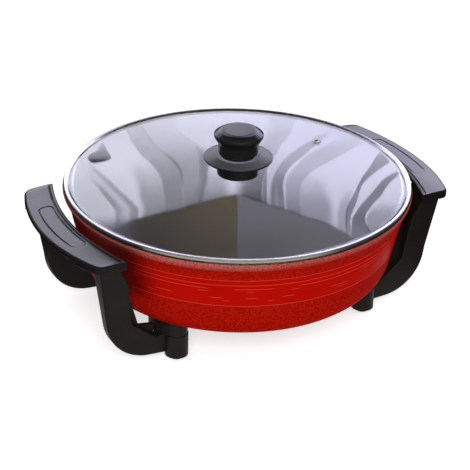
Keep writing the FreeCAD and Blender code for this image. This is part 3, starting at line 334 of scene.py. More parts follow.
def paint_faces(made, second):
    """The object's second material on the faces that are marked."""
    made.data.polygons.foreach_set("material_index", second.astype(np.int32))


def store(made, name, values):
    """Values kept on the vertices for the finish to read."""
    made.data.attributes.new(name, "FLOAT", "POINT").data.foreach_set("value", values)


def ramp(values, low, high):
    """0 at low, 1 at high, and three times the square less twice the cube between."""
    share = np.clip((values - low) / (high - low), 0, 1)
    return share * share * (3 - 2 * share)


def fade(values, low, high):
    """1 at low, 0 at high, and the same curve between."""
    return ramp(-values, -high, -low)


def bell(distance, half_width):
    """1 on a line, and the falling exponential of the squared distance beside it."""
    return np.exp(-(distance / half_width) ** 2)


# Finishes


class Finish:
    """A material built from a few node calls."""

    def __init__(self, name, colour, roughness, specular=0.5, metallic=0):
        """A principled shader with its constants."""
        self.material = bpy.data.materials.new(name)
        self.material.use_nodes = True
        self.tree = self.material.node_tree
        self.shader = self.tree.nodes["Principled BSDF"]
        self.set(self.shader, "Base Color", (*colour, 1))
        self.set(self.shader, "Roughness", roughness)
        self.set(self.shader, "Specular IOR Level", specular)
        self.set(self.shader, "Metallic", metallic)
        self.place = None

    def set(self, node, socket, value):
        """A link into the socket, or a constant on it."""
        if isinstance(value, bpy.types.NodeSocket):
            self.tree.links.new(value, node.inputs[socket])
        else:
            node.inputs[socket].default_value = value

    def node(self, kind, settings=None, **inputs):
        """A node with its settings, and its sockets by name or as i and a number."""
        made = self.tree.nodes.new("ShaderNode" + kind)
        for name, value in (settings or {}).items():
            setattr(made, name, value)
        for name, value in inputs.items():
            socket = int(name[1:]) if name[1:].isdigit() else name.replace("_", " ")
            self.set(made, socket, value)
        return made

    def position(self):
        """The object's own coordinates, which every pattern reads."""
        if self.place is None:
            self.place = self.node("TexCoord").outputs["Object"]
        return self.place

    def height(self):
        """The third of the coordinates."""
        return self.node("SeparateXYZ", i0=self.position()).outputs[2]

    def noise(self, scale, detail=2, rough=0.5, stretch=None):
        """Noise over the object, its coordinates multiplied by the stretch first."""
        where = self.position()
        if stretch:
            where = self.node("Mapping", Vector=where, Scale=stretch).outputs[0]
        made = self.node("TexNoise", Vector=where, Scale=scale, Detail=detail, Roughness=rough)
        return made.outputs[0]

    def span(self, value, low, high, to_low=0, to_high=1):
        """The ramp's curve from one number at low to another at high."""
        return self.node("MapRange", {"interpolation_type": "SMOOTHSTEP"}, i0=value, i1=low,
                         i2=high, i3=to_low, i4=to_high).outputs[0]

    def math(self, operation, first, second=0):
        """One operation on two numbers."""
        return self.node("Math", {"operation": operation}, i0=first, i1=second).outputs[0]

    def times(self, first, second):
        """The product of two numbers."""
        return self.math("MULTIPLY", first, second)

    def mix(self, share, first, second):
        """The first colour at a share of 0, the second at 1, and in proportion between."""
        made = self.node("Mix", {"data_type": "RGBA"})
        self.set(made, 0, share)
        for socket, value in ((6, first), (7, second)):
            linked = isinstance(value, bpy.types.NodeSocket)
            self.set(made, socket, value if linked else (*value, 1))
        return made.outputs[2]

    def read(self, name):
        """A number kept on the vertices."""
        return self.node("Attribute", {"attribute_name": name}).outputs["Fac"]

    def colour(self, socket):
        """The base colour, taken from a socket."""
        self.set(self.shader, "Base Color", socket)

    def rough(self, socket):
        """The roughness, taken from a socket."""
        self.set(self.shader, "Roughness", socket)

    def bump(self, height, strength, distance):
        """Bump whose distance is in millimetres."""
        made = self.node("Bump", Strength=strength, Distance=distance * MM, Height=height)
        self.set(self.shader, "Normal", made.outputs[0])


def red_enamel():
    """Red stove enamel: crinkled above and below a smooth belt, with raised lighter lines, a
    painted sheen of pale specks at the lip, and painted shade between the grips and the wall."""
    made = Finish("red_enamel", (0.40, 0.004, 0.002), 0.3, specular=0.003)
    height = made.height()
    low, high = BELT_LOW * MM, BELT_HIGH * MM
    edge = BELT_EDGE * MM
    belt = made.times(made.span(height, low - edge, low + edge),
                      made.span(height, high + edge, high - edge))
    grain = made.noise(scale=620, detail=3, rough=0.6)
    grit = made.noise(scale=1500, rough=0.6)
    crumbs = made.math("ADD", grain, made.times(grit, 0.4))
    crinkle = made.times(crumbs, made.span(belt, 0, 1, 1, 0.04))
    tone = made.span(made.noise(scale=18), 0.3, 0.7)
    smooth_red = made.mix(tone, (0.39, 0.0028, 0.0008), (0.42, 0.004, 0.0014))
    rough_red = made.mix(made.span(grain, 0.36, 0.64), (0.27, 0.002, 0.0006), (0.41, 0.009, 0.003))
    colour = made.mix(belt, rough_red, smooth_red)
    # Painted highlight: pale pink specks on the lip stand in for its sheen
    sheen_specks = made.span(made.noise(scale=900, detail=3, rough=0.65), 0.38, 0.62)
    colour = made.mix(made.times(sheen_specks, made.read("lip_painted_sheen")), colour, (0.40, 0.105, 0.095))
    colour = made.mix(made.times(made.read("line"), 0.4), colour, (0.80, 0.13, 0.09))
    # Painted shade: the wall beside the grips is darkened towards near black
    made.colour(made.mix(made.times(made.read("shade"), 0.78), colour, (0.016, 0.001, 0.001)))
    made.rough(made.span(belt, 0, 1, 0.5, 0.2))
    made.bump(crinkle, strength=0.55, distance=0.35)
    return made.material


def dark_coating():
    """Dark non-stick coating with fine pale flecks."""
    made = Finish("dark_coating", (0.008, 0.008, 0.008), 0.38, specular=0.2)
    flecks = made.span(made.noise(scale=900), 0.62, 0.72)
    made.colour(made.mix(flecks, (0.008, 0.0078, 0.0076), (0.020, 0.020, 0.020)))
    made.bump(made.noise(scale=700), strength=0.2, distance=0.1)
    return made.material


def moulding(name, dark, light, roughness, specular, grain_scale, grain_depth):
    """Moulded thermoset: fine grain, faint flow marks in colour and in gloss."""
    made = Finish(name, dark, roughness, specular)
    flow = made.noise(scale=14, detail=3, rough=0.55, stretch=(1, 1, 2.5))
    made.colour(made.mix(made.span(flow, 0.3, 0.7), dark, light))
    grain = made.noise(grain_scale, rough=0.6)
    made.rough(made.span(grain, 0.25, 0.75, roughness - 0.05, roughness + 0.06))
    made.bump(grain, 0.25, grain_depth)
    return made.material


def metal(name, colour, shade, roughness, grain=350):
    """Worked metal: fine streaks in colour and gloss."""
    made = Finish(name, colour, roughness, metallic=1)
    streak = made.noise(grain, detail=3, rough=0.6)
    made.colour(made.mix(made.span(streak, 0.3, 0.7), colour, shade))
    made.rough(made.span(streak, 0.3, 0.7, roughness, roughness + 0.1))
    made.bump(streak, strength=0.1, distance=0.05)
    return made.material


def plain(name, light, shade, roughness):
    """Dull material with a mild speckle."""
    made = Finish(name, light, roughness, specular=0.3)
    speckle = made.noise(scale=400, detail=3, rough=0.6)
    made.colour(made.mix(made.span(speckle, 0.35, 0.65), light, shade))
    made.bump(speckle, strength=0.2, distance=0.08)
    return made.material


def clear_glass():
    """Clear tempered glass, with faint smears in its gloss; lamps shine through it."""
    made = Finish("clear_glass", (0.955, 0.965, 0.97), 0, specular=0.5)
    made.set(made.shader, "IOR", 1.5)
    made.set(made.shader, "Transmission Weight", 1)
    made.rough(made.span(made.noise(scale=9, detail=3), 0.55, 0.8, 0, 0.03))
    open_to_lamps = made.node("BsdfTransparent", i0=(0.9, 0.91, 0.92, 1))
    join = made.node("MixShader", i0=made.node("LightPath").outputs["Is Shadow Ray"],
                     i1=made.shader.outputs[0], i2=open_to_lamps.outputs[0])
    made.set(made.tree.nodes["Material Output"], 0, join.outputs[0])
    return made.material


def band_steel():
    """Polished rolled steel, with a warm tan reflection painted into the colour of its lower half.
    """
    made = Finish("band_steel", (0.74, 0.71, 0.66), 0.16, metallic=1)
    streak = made.noise(scale=420, detail=3, rough=0.6, stretch=(1, 1, 14))
    # Painted reflection: a warm tan on the band's lower half
    low = made.span(made.height(), *BAND_PAINTED_TAN)
    bright = made.mix(made.span(streak, 0.3, 0.7), (0.40, 0.39, 0.38), (0.34, 0.33, 0.32))
    made.colour(made.mix(low, bright, (0.46, 0.40, 0.31)))
    made.rough(made.span(streak, 0.3, 0.7, 0.14, 0.24))
    made.bump(streak, strength=0.08, distance=0.03)
    return made.material


ENAMEL = red_enamel()
COATING = dark_coating()
LEG_MOULDING = moulding("leg_moulding", (0.0078, 0.0064, 0.0056), (0.0104, 0.0086, 0.0074),
                        0.46, 0.09, 1300, 0.05)
GRIP_MOULDING = moulding("grip_moulding", (0.0080, 0.0072, 0.0076), (0.0110, 0.0098, 0.0104),
                         0.26, 0.41, 1500, 0.03)
# The grips' sides: the same moulding, duller, and coloured darker as painted shade
GRIP_SIDE_SHADED = moulding("grip_moulding_side_shaded", (0.0050, 0.0046, 0.0045), (0.0070, 0.0062, 0.0060),
                     0.4, 0.1, 1500, 0.03)
KNOB_MOULDING = moulding("knob_moulding", (0.0052, 0.0050, 0.0048), (0.0070, 0.0066, 0.0064),
                         0.2, 0.24, 1800, 0.015)
RUBBER = plain("foot_rubber", (0.012, 0.011, 0.010), (0.020, 0.018, 0.017), 0.7)
SILICONE = plain("clear_silicone", (0.62, 0.61, 0.59), (0.54, 0.53, 0.51), 0.45)
CERAMIC = plain("white_ceramic", (0.80, 0.78, 0.72), (0.70, 0.68, 0.62), 0.55)
SCREW_STEEL = metal("screw_steel", (0.55, 0.55, 0.54), (0.42, 0.42, 0.41), 0.28)
TERMINAL = metal("nickel_plate", (0.72, 0.70, 0.66), (0.60, 0.58, 0.54), 0.16)
ELEMENT = metal("dulled_tube", (0.30, 0.29, 0.28), (0.19, 0.17, 0.16), 0.42, grain=160)
CAST = metal("bare_casting", (0.62, 0.62, 0.62), (0.50, 0.50, 0.50), 0.4)
EYELET = metal("eyelet_steel", (0.34, 0.33, 0.31), (0.22, 0.21, 0.20), 0.3)
STEEL_BAND = band_steel()
GLASS = clear_glass()

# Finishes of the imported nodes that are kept
FINISHES = {
    "heating_element": ELEMENT,
    "probe_guide": CAST,
    "inlet_shroud": LEG_MOULDING,
    "vent_eyelet": EYELET,
    "knob_seal": SILICONE,
}
for name in ("inlet_screws", "foot_screws", "foot_washers", "grip_screws", "knob_washer",
             "knob_screw"):
    FINISHES[name] = SCREW_STEEL
for end in ("rear", "front"):
    FINISHES[f"{end}_terminal_pin"] = TERMINAL
    FINISHES[f"{end}_terminal_bush"] = CERAMIC
    for side in ("right", "left"):
        FINISHES[f"{side}_{end}_support"] = LEG_MOULDING
        FINISHES[f"{side}_{end}_foot"] = RUBBER
for name, finish in FINISHES.items():
    for place in nodes[name].material_slots:
        place.material = finish


# Pan: spun bowl with raised lines round its belt


def wall_radius(height):
    """Outside radius of the pan's wall: the foot's radius and the taper times the share of
    the height from the foot to the collar."""
    return FOOT_RADIUS + WALL_TAPER * (height - PAN_BOTTOM) / WALL_HEIGHT


def dashes(turn, count, length, start):
    """1 inside each dash round the pan, 0 between, with soft ends. Dashes start at
    uneven turns: the even pattern is pushed back and forth by two slow sine waves."""
    sway = turn * count / FULL_TURN + start
    for size, times, shift in DASH_WAVES:
        sway = sway + size * np.sin(times * turn + shift)
    share = sway - np.floor(sway)
    return ramp(share, 0, DASH_SOFT) * ramp(length - share, 0, DASH_SOFT)


def line_height(points):
    """How strongly a raised line stands at each point: bell curves of height, cut to dashes."""
    turn = np.arctan2(points[:, 1], points[:, 0])
    total = np.zeros(len(points))
    for height, kind in LINES:
        line = bell(points[:, 2] - height, LINE_HALF)
        if kind:
            line = line * dashes(turn, *kind)
        total = np.maximum(total, line)
    outside = np.hypot(points[:, 0], points[:, 1]) > wall_radius(points[:, 2]) - 1
    return total * outside


wall_heights = np.unique(np.round(np.concatenate([height + LINE_STEPS for height, _ in LINES]), 2))
pan_corners = [(0, PAN_BOTTOM), (BOTTOM_FLAT, PAN_BOTTOM), (FOOT_RADIUS, PAN_BOTTOM, FOOT_ROUND)]
pan_corners += [(wall_radius(height), height) for height in wall_heights]
pan_corners += [(wall_radius(NECK_HEIGHT), NECK_HEIGHT, NECK_ROUND)] + LIP_LINE
pan_corners += [(wall_radius(LEDGE) - PAN_WALL, LEDGE, LEDGE_ROUND),
                (wall_radius(FLOOR_TOP) - PAN_WALL, FLOOR_TOP, FLOOR_ROUND), (0, FLOOR_TOP)]
bowl_points, bowl_faces = spun(outline(pan_corners, *PAN_FINE))
rise = line_height(bowl_points) * LINE_RISE
reach = np.hypot(bowl_points[:, 0], bowl_points[:, 1])
bowl_points[:, :2] += bowl_points[:, :2] / np.maximum(reach, TINY)[:, None] * rise[:, None]
pan = piece("pan", [(bowl_points, bowl_faces)], "cooker", ["pan_body"],
            [ENAMEL, COATING])
middles = triples(pan.data.polygons, "center") / MM
facing = triples(pan.data.polygons, "normal")
reach = np.hypot(middles[:, 0], middles[:, 1])
facing_out = (facing * middles)[:, :2].sum(axis=1) / np.maximum(reach, 1)
paint_faces(pan, (reach < np.interp(middles[:, 2], COATED_HEIGHTS, COATED_REACHES))
            & (middles[:, 2] > COATED_FROM) & (facing_out < COATED_OUTWARDS)
            & (facing[:, 2] > COATED_UPWARDS))
spots = triples(pan.data.vertices, "co") / MM
height = spots[:, 2]
on_left = ramp(-spots[:, 0], *PAINTED_LIGHT_LEFT)
sideways = np.abs(spots[:, 0]) / np.maximum(np.hypot(spots[:, 0], spots[:, 1]), 1)
store(pan, "line", line_height(spots))
# Painted shade on the wall beside the grips, reaching up onto the lip on the left
store(pan, "shade", ramp(sideways, *PAINTED_SHADE_BY_GRIP) * ramp(height, *PAINTED_SHADE_LOW)
      * (1 - (1 - PAINTED_SHADE_LESS_ON_LEFT * on_left) * ramp(height, *PAINTED_SHADE_HIGH)))
# Painted sheen on the lip, stronger on the left and fainter by the right grip
store(pan, "lip_painted_sheen", ramp(height, *PAINTED_SHEEN_HEIGHTS) * (1 + PAINTED_SHEEN_LEFT_MORE * on_left)
      * (1 - PAINTED_SHEEN_LESS_BY_GRIP * (1 - on_left) * ramp(sideways, *PAINTED_SHEEN_BY_GRIP)))


# Lid: domed glass with its vent hole, rolled steel band


def dome(radius):
    """How far the dome's sphere lies below its middle at a radius: the sphere's radius less
    the root of its square less the square of the radius."""
    return DOME_BOW - np.sqrt(DOME_BOW ** 2 - np.minimum(radius, DOME_RADIUS) ** 2)


def vented_glass():
    """Two rings of quads on the dome's sphere, above and below, whose turns and radii are
    closer by the vent. Points near the hole's edge are moved onto it, the quads inside are
    left out, and walls join both sheets along every open edge."""
    vent_turn = math.atan2(VENT[1], VENT[0])
    vent_reach = math.hypot(*VENT)
    reaches = np.unique(np.round(np.concatenate([
        np.linspace(GLASS_BORE, DOME_RADIUS, GLASS_RINGS), vent_reach + VENT_STEPS,
        GLASS_RIM]), 3))
    swings = np.unique(np.round(np.concatenate([
        np.linspace(0, FULL_TURN, GLASS_TURNS, endpoint=False),
        vent_turn + VENT_STEPS / vent_reach]), 5))
    reach_grid, swing_grid = np.meshgrid(reaches, swings, indexing="xy")
    x, y = reach_grid * np.cos(swing_grid), reach_grid * np.sin(swing_grid)
    away = np.hypot(x - VENT[0], y - VENT[1])
    at_edge = (away > VENT_HOLE - VENT_PULL_IN) & (away < VENT_HOLE + VENT_PULL_OUT)
    to_edge = np.where(at_edge, VENT_HOLE / np.maximum(away, TINY), 1)
    x, y = VENT[0] + (x - VENT[0]) * to_edge, VENT[1] + (y - VENT[1]) * to_edge
    drop = dome(np.hypot(x, y))
    upper_z = GLASS_LOW + GLASS_THICK + GLASS_RISE - drop
    upper, faces = grid(np.stack([x, y, upper_z], axis=-1), wrap_u=True)
    lower, _ = grid(np.stack([x, y, GLASS_LOW + GLASS_RISE - drop], axis=-1), wrap_u=True)
    in_hole = (away < VENT_HOLE - VENT_PULL_IN).reshape(-1)
    faces = faces[~in_hole[faces].any(axis=1)]
    sides = np.stack([faces, np.roll(faces, -1, axis=1)], axis=-1).reshape(-1, 2)
    _, first_seen, seen = np.unique(np.sort(sides, axis=1), axis=0, return_index=True,
                                    return_counts=True)
    rim = sides[first_seen[seen == 1]]
    count = len(upper)
    walls = np.stack([rim[:, 1], rim[:, 0], rim[:, 0] + count, rim[:, 1] + count], axis=1)
    used = np.unique(faces)
    renumber = np.zeros(2 * count, int)
    renumber[np.concatenate([used, used + count])] = np.arange(2 * len(used))
    return (np.concatenate([upper[used], lower[used]]),
            renumber[np.concatenate([faces, faces[:, ::-1] + count, walls])])


piece("domed_glass", [vented_glass()], "lid", ["lid_glass"], [GLASS])
piece("steel_band", [spun(outline(BAND_LINE, *BAND_FINE), closed=True)], "lid",
      ["lid_band"], [STEEL_BAND])


# Knob: guard disc and turned head, which the lid doesn't mirror in the photograph

guard_line = outline(GUARD_LINE, *GUARD_FINE)
guard = piece("guard_disc", [spun(guard_line, KNOB_TURNS, closed=True)], "lid",
              ["knob_guard"], [KNOB_MOULDING])
head_line = np.concatenate([outline(HEAD_LINE, *HEAD_FINE), np.array(HEAD_BORE)])
head = piece("knob_head_turned", [spun(head_line, KNOB_TURNS, closed=True)], "lid",
             ["knob_head"], [KNOB_MOULDING])
for made in [guard, head] + [nodes[name] for name in ("knob_screw", "knob_seal", "knob_washer")]:
    made.visible_glossy = False
    made.visible_transmission = False


# Grips: crowned plates with a rim along the pan's side and an inset panel's hair groove


def end_pull(from_end, radius):
    """How far a side steps back near a rounded end: the radius less the root of its square
    less the square of what is short of the radius."""
    short = np.clip(radius - from_end, 0, radius)
    return radius - np.sqrt(radius ** 2 - short ** 2)


def side_bow(radius, along):
    """How far a side bows out: its circle's height here less the height at the ends."""
    return np.sqrt(radius ** 2 - along ** 2) - np.sqrt(radius ** 2 - GRIP_HALF ** 2)


def form(distance, place, half_width, height):
    """A bell curve of the distance from a line's place, with its height."""
    return height * bell(distance - place, half_width)


def grip_relief(from_inner, along, width, from_end):
    """Height of the top's small forms: a rim along the inner edge with a groove behind it,
    and the hair groove round an inset panel, whose line is a rectangle with round corners."""
    rim = form(from_inner, *RIM) + form(from_inner, *RIM_GROOVE)
    rim = rim * ramp(from_end, *RIM_STARTS)
    low, high = PANEL_FROM_IN, width - PANEL_FROM_OUT
    aside = np.abs(from_inner - (low + high) / 2) - (high - low) / 2 + PANEL_CORNER
    ahead = np.abs(along) - PANEL_HALF + PANEL_CORNER + 0 * aside
    away = np.hypot(np.maximum(aside, 0), np.maximum(ahead, 0))
    away = away + np.minimum(np.maximum(aside, ahead), 0)
    strength = PANEL_FAINT + (1 - PANEL_FAINT) * ramp(along, *PANEL_FAINT_TO)
    return rim + form(away, *PANEL_GROOVE) * strength


def grip_section():
    """The grip's section, once round: share of the width, added width, share of the height,
    added height."""
    parts = []
    arc = np.linspace(0, math.pi / 2, ARC_STEPS)
    under = np.linspace(0, 1, UNDER_STEPS)[1:-1]
    top = np.linspace(0, 1, TOP_STEPS)[1:-1]

    def run(*values):
        shape = np.broadcast_arrays(*[np.asarray(value, float) for value in values])
        parts.append(np.stack(shape, axis=-1).reshape(-1, 4))

    run(1 - under, LOW_ROUND * (2 * under - 1), 0, 0)
    run(0, LOW_ROUND * (1 - np.sin(arc)), 0, LOW_ROUND * (1 - np.cos(arc)))
    run(0, 0, INNER_SIDE, 0)
    run(0, TOP_IN_ROUND * (1 - np.cos(arc)), 1, -TOP_IN_ROUND * (1 - np.sin(arc)))
    run(top, TOP_IN_ROUND * (1 - top) - TOP_OUT_ROUND * top, 1, 0)
    run(1, -TOP_OUT_ROUND * (1 - np.sin(arc)), 1, -TOP_OUT_ROUND * (1 - np.cos(arc)))
    run(1, 0, OUTER_SIDE, 0)
    run(1, -LOW_ROUND * (1 - np.cos(arc)), 0, LOW_ROUND * (1 - np.sin(arc)))
    return np.concatenate(parts)[None, :, :]


def grip_part(mirror):
    """The grip as a rounded section carried along Y: its sides follow the two bows. Its top
    dips by the square of the share of the length, falls outwards in a straight line and
    curves by the square of the share across. Its underside rises over the finger space."""
    along = np.unique(np.round(np.concatenate([
        TIP_STEPS - GRIP_FRONT, GRIP_REAR - TIP_STEPS, LENGTH_STEPS, PANEL_STEPS,
        -PANEL_STEPS]), 3))[:, None]
    from_end = np.where(along < 0, GRIP_FRONT + along, GRIP_REAR - along)
    inset = end_pull(from_end, GRIP_EDGE)
    inner = GRIP_IN + side_bow(GRIP_IN_BOW, along) + end_pull(from_end, GRIP_IN_CORNER) + inset
    outer = GRIP_OUT + side_bow(GRIP_OUT_BOW, along) - end_pull(from_end, GRIP_OUT_CORNER) - inset
    x_share, x_more, z_share, z_more = np.moveaxis(grip_section(), -1, 0)
    x = inner + (outer - inner) * x_share + x_more
    finger = ramp(FINGER_HALF - np.abs(along), 0, FINGER_SOFT)
    fall = GRIP_TILT * (x - GRIP_LEVEL_AT)
    low = GRIP_LOW + (FINGER_TOP - GRIP_LOW - fall) * finger + inset
    across = (x - inner) / np.maximum(outer - inner, 1)
    crown = CROWN * (2 * across - 1) ** 2
    crown = crown + REAR_DROOP * np.clip(REAR_DROOP_FROM - (GRIP_REAR - along), 0, REAR_DROOP_FROM)
    front_droop = FRONT_DROOP + FRONT_DROOP_IN * (1 - across)
    crown = crown + front_droop * ramp(-along, *FRONT_DROOP_FROM)
    high = GRIP_TOP - GRIP_DIP * (1 - (along / GRIP_HALF) ** 2) - fall - crown - inset
    on_top = (z_share == 1) & (z_more > TOP_FROM)
    relief = grip_relief(x - inner, along, outer - inner, from_end)
    z = low + (high - low) * z_share + z_more + np.where(on_top, relief, 0)
    shape = np.stack([x * mirror, along + 0 * x, z], axis=-1)
    first = np.broadcast_to(shape[:1].mean(axis=1, keepdims=True), shape[:1].shape)
    last = np.broadcast_to(shape[-1:].mean(axis=1, keepdims=True), shape[-1:].shape)
    return grid(np.concatenate([first, shape, last]), wrap_v=True)


for side, mirror in (("right", 1), ("left", -1)):
    bosses = [spun(rounded(GRIP_BOSS_LINE), GRIP_BOSS_TURNS, (GRIP_BOSS_OUT * mirror, along))
              for along in GRIP_BOSS_ALONG]
    plate = piece(f"{side}_grip_plate", [grip_part(mirror)] + bosses, "cooker",
                  [f"{side}_grip"], [GRIP_MOULDING, GRIP_SIDE_SHADED])
    # Faces that don't face up take the side copy with its painted shade
    paint_faces(plate, triples(plate.data.polygons, "normal")[:, 2] < FLAT_TOP)


# Legs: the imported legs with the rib's toe drawn back to where the photograph shows it

for side in ("right", "left"):
    for end in ("rear", "front"):
        leg = nodes[f"{side}_{end}_leg"].data
        spots = triples(leg.vertices, "co") / MM
        corners = np.empty(len(leg.loops), int)
        leg.loops.foreach_get("vertex_index", corners)
        at_toe = (np.abs(np.abs(spots[:, 0]) - RIB_TOE[0]) < RIB_TOE_NEAR) \
            & (np.abs(spots[:, 2] - RIB_TOE[1]) < RIB_TOE_NEAR)
        spots[at_toe, 0] = np.sign(spots[at_toe, 0]) * RIB_TOE_SEEN[0]
        spots[at_toe, 2] = RIB_TOE_SEEN[1]
        piece(f"{side}_{end}_leg_moulded", [(spots, corners.reshape(-1, 3))], "cooker",
              [f"{side}_{end}_leg"], [LEG_MOULDING])


# Channel under the pan for the element, and the cast bosses of the screws

half_gap = math.asin(CHANNEL_GAP / CHANNEL_RADIUS)
turn = np.linspace(half_gap, FULL_TURN - half_gap, CHANNEL_STEPS)[:, None]
channel_line = rounded(CHANNEL_LINE)[None, :, :]
channel = np.stack([np.cos(turn) * channel_line[..., 0], np.sin(turn) * channel_line[..., 0],
                    channel_line[..., 1] + 0 * turn], axis=-1)
casting = [grid(channel, wrap_v=True)]
for spot, radius, low in CASTING_BOSSES:
    casting.append(spun(rounded([(0, low), (radius, low, CASTING_ROUND), (radius, CASTING_TOP),
                                 (0, CASTING_TOP)]), BOSS_TURNS, spot))
piece("casting_bosses", casting, "cooker", ["pan_body"], [ENAMEL])


# Floor, and the camera where the photograph was taken from

FLOOR_RINGS = [0, 400, 1200, 3000, 9000]
FLOOR_TURNS = 64
FLOOR_HEIGHT = -0.2
FLOOR_GLOW = 0.6


def seen_directly(tree):
    """1 for rays of the camera, of gloss and of glass, and 0 for all others."""
    path = tree.nodes.new("ShaderNodeLightPath")
    seen = path.outputs["Is Camera Ray"]
    for kind in ("Is Glossy Ray", "Is Transmission Ray"):
        larger = tree.nodes.new("ShaderNodeMath")
        larger.operation = "MAXIMUM"
        tree.links.new(seen, larger.inputs[0])
        tree.links.new(path.outputs[kind], larger.inputs[1])
        seen = larger.outputs[0]
    return seen


def stage_object(name, points, faces, finish):
    """An object of the set, with its finish, at the frame's origin."""
    made = placed(name, mesh_of(name, points, faces, [finish]))
    return made


def floor_finish():
    """Pale floor: a diffuse share that takes the shadow, and a share that only the camera,
    gloss and glass see."""
    made = Finish("pale_floor", (0.8, 0.8, 0.8), 1, specular=0)
    made.set(made.shader, "Emission Color", (1, 1, 1, 1))
    made.set(made.shader, "Emission Strength", made.times(seen_directly(made.tree), FLOOR_GLOW))
    return made.material


floor_line = np.stack([FLOOR_RINGS, np.full(len(FLOOR_RINGS), FLOOR_HEIGHT)], axis=1)
stage_object("floor", *spun(floor_line, FLOOR_TURNS), floor_finish())

AZIMUTH = math.radians(-28.57)
ELEVATION = math.radians(27.77)
ROLL = math.radians(1.55)
DISTANCE = 1750.8
TARGET = np.array([21.47, 41.73, 45.87])
FOCAL_PIXELS = 1699
PICTURE = 470
SENSOR = 36
back = np.array([math.sin(AZIMUTH) * math.cos(ELEVATION),
                 -math.cos(AZIMUTH) * math.cos(ELEVATION), math.sin(ELEVATION)])
rightwards = np.cross(-back, [0, 0, 1])
rightwards /= np.linalg.norm(rightwards)
upwards = np.cross(rightwards, -back)
across = rightwards * math.cos(ROLL) + upwards * math.sin(ROLL)
upright = upwards * math.cos(ROLL) - rightwards * math.sin(ROLL)
eye = TARGET + back * DISTANCE

lens = bpy.data.cameras.new("photo_camera")
lens.sensor_width = SENSOR
lens.lens = SENSOR * FOCAL_PIXELS / PICTURE
lens.clip_end = 50
camera = placed("photo_camera", lens)
camera.matrix_world = Matrix(
    np.column_stack([across, upright, back, eye * MM]).tolist() + [[0, 0, 0, 1]])
bpy.context.scene.camera = camera
bpy.context.scene.view_settings.view_transform = "Standard"

# Cloth round the pot that only gloss and glass see: its form, and where it is finer because
# the lid shows it in the picture. Its turns are degrees from straight behind the pot.
CLOTH_RADIUS = 1500
CLOTH_CROWN = 3000
BEHIND_X = 0.467
BEHIND_Y = 0.884
VIEW_TURN = math.atan2(BEHIND_Y, BEHIND_X)
SHOWN_TURN = 18.5
CLOTH_TURNS = np.concatenate([np.linspace(-SHOWN_TURN, SHOWN_TURN, 430),
                              np.linspace(SHOWN_TURN, 360 - SHOWN_TURN, 161)[1:-1]])
CLOTH_HEIGHTS = np.concatenate([[0, 400], np.linspace(420, 1260, 150),
                                np.linspace(1280, 2400, 40), [CLOTH_CROWN]])

# Light of the cloth, and of its dim part under the hem
CLOTH_LEVEL = 3.25
TINT_LEFT = np.array([0.94, 0.935, 1.11])
TINT_RIGHT = np.array([0.94, 0.925, 1.20])
TINT_COLUMNS = (150, 300)
DULL_LEFT = 0.1
DULL_LEFT_COLUMNS = (90, 130)
DULL_LEFT_ROWS = (165, 190)
DULL_REAR = 0.19
DULL_REAR_ROWS = (130, 166)
DULL_HEM = 0.12
DULL_HEM_ROWS = 9
SHADE_LEFT = np.array([0.33, 0.285, 0.26])
SHADE_MIDDLE = np.array([0.52, 0.42, 0.32])
SHADE_RIGHT = np.array([0.76, 0.74, 0.86])
SHADE_MIDDLE_COLUMNS = (150, 232)
SHADE_RIGHT_COLUMNS = (236.5, 238.5)
SHADE_FRONT = 0.3
SHADE_FRONT_ROWS = (215, 255)
SHADE_FRONT_COLUMNS = (260, 330)
HAZE = np.array([0.44, 0.45, 0.58])
HAZE_COLUMNS = (118, 142)
# The hem's softness, more on the left; the shares of it above and below; and its dark line
HEM_SOFT = 2.2
HEM_SOFT_LEFT = 14
HEM_SOFT_COLUMNS = (108, 140)
HEM_ABOVE = 0.4
HEM_BELOW = 0.8
HEM_LINE = (-0.3, 0.9, 0.75)
HEM_LINE_COLUMNS = (238, 244)
# What only the band and the grips see: black canopy, dark skirt, dim front with a window
CANOPY = 0.03
CANOPY_HEIGHTS = (1400, 1480)
CANOPY_TURNS = (22, 26)
CANOPY_TOP = (2000, 2080)
SKIRT = 0.08
SKIRT_HEIGHTS = (430, 455)
GLASS_TOP_SOFT = 50
FRONT_DIM = np.array([0.42, 0.41, 0.44])
FRONT_TURNS = (118, 142)
WINDOW_GLOW = 2.4
WINDOW_TURN = -18
WINDOW_TURNS = (40, 46)
WINDOW_FOOT = (820, 900)
WINDOW_HEAD = (1720, 1800)

# Folds of the cloth, drawn where the lid shows them in the picture. Each has how soft its left
# and right edges are, then down its length: pixel row, left edge, right edge, and how many
# per cent of the light are left
BROAD_FOLD = (1.2, 3, [
    (125, 124.5, 142, 80), (135, 128.5, 149, 78), (145, 134, 156, 70), (150, 138, 160.5, 65),
    (157, 143.5, 172, 60), (162, 150, 177, 53), (169, 156, 181.5, 48), (175, 160, 182.5, 44),
    (183, 162.5, 182.5, 41), (190, 163.3, 182, 38), (200, 164.8, 184, 38)])
BESIDE_BROAD = (3, 6, [
    (128, 142, 175, 92), (140, 150, 192, 84), (150, 160, 204, 68), (160, 172, 208, 54),
    (170, 180, 208, 50), (180, 182, 207, 47), (190, 182, 204, 42), (200, 184, 202, 40)])
CURL = (3, 3, [
    (142, 195, 204, 100), (150, 197, 207, 80), (158, 199, 209, 66), (165, 200, 209, 66),
    (180, 199, 206, 80), (190, 196, 203, 85), (200, 190, 200, 95)])
LEFT_OF_COLLAR = (6, 12, [
    (165, 206, 222, 100), (178, 205, 226, 66), (188, 202, 228, 54), (198, 200, 228, 42)])
PALE_STRIP = (3, 2, [
    (160, 80, 92, 98), (172, 84, 100, 92), (180, 92, 109, 90), (190, 101, 119, 88),
    (200, 108, 130, 84), (210, 116, 139, 80)])
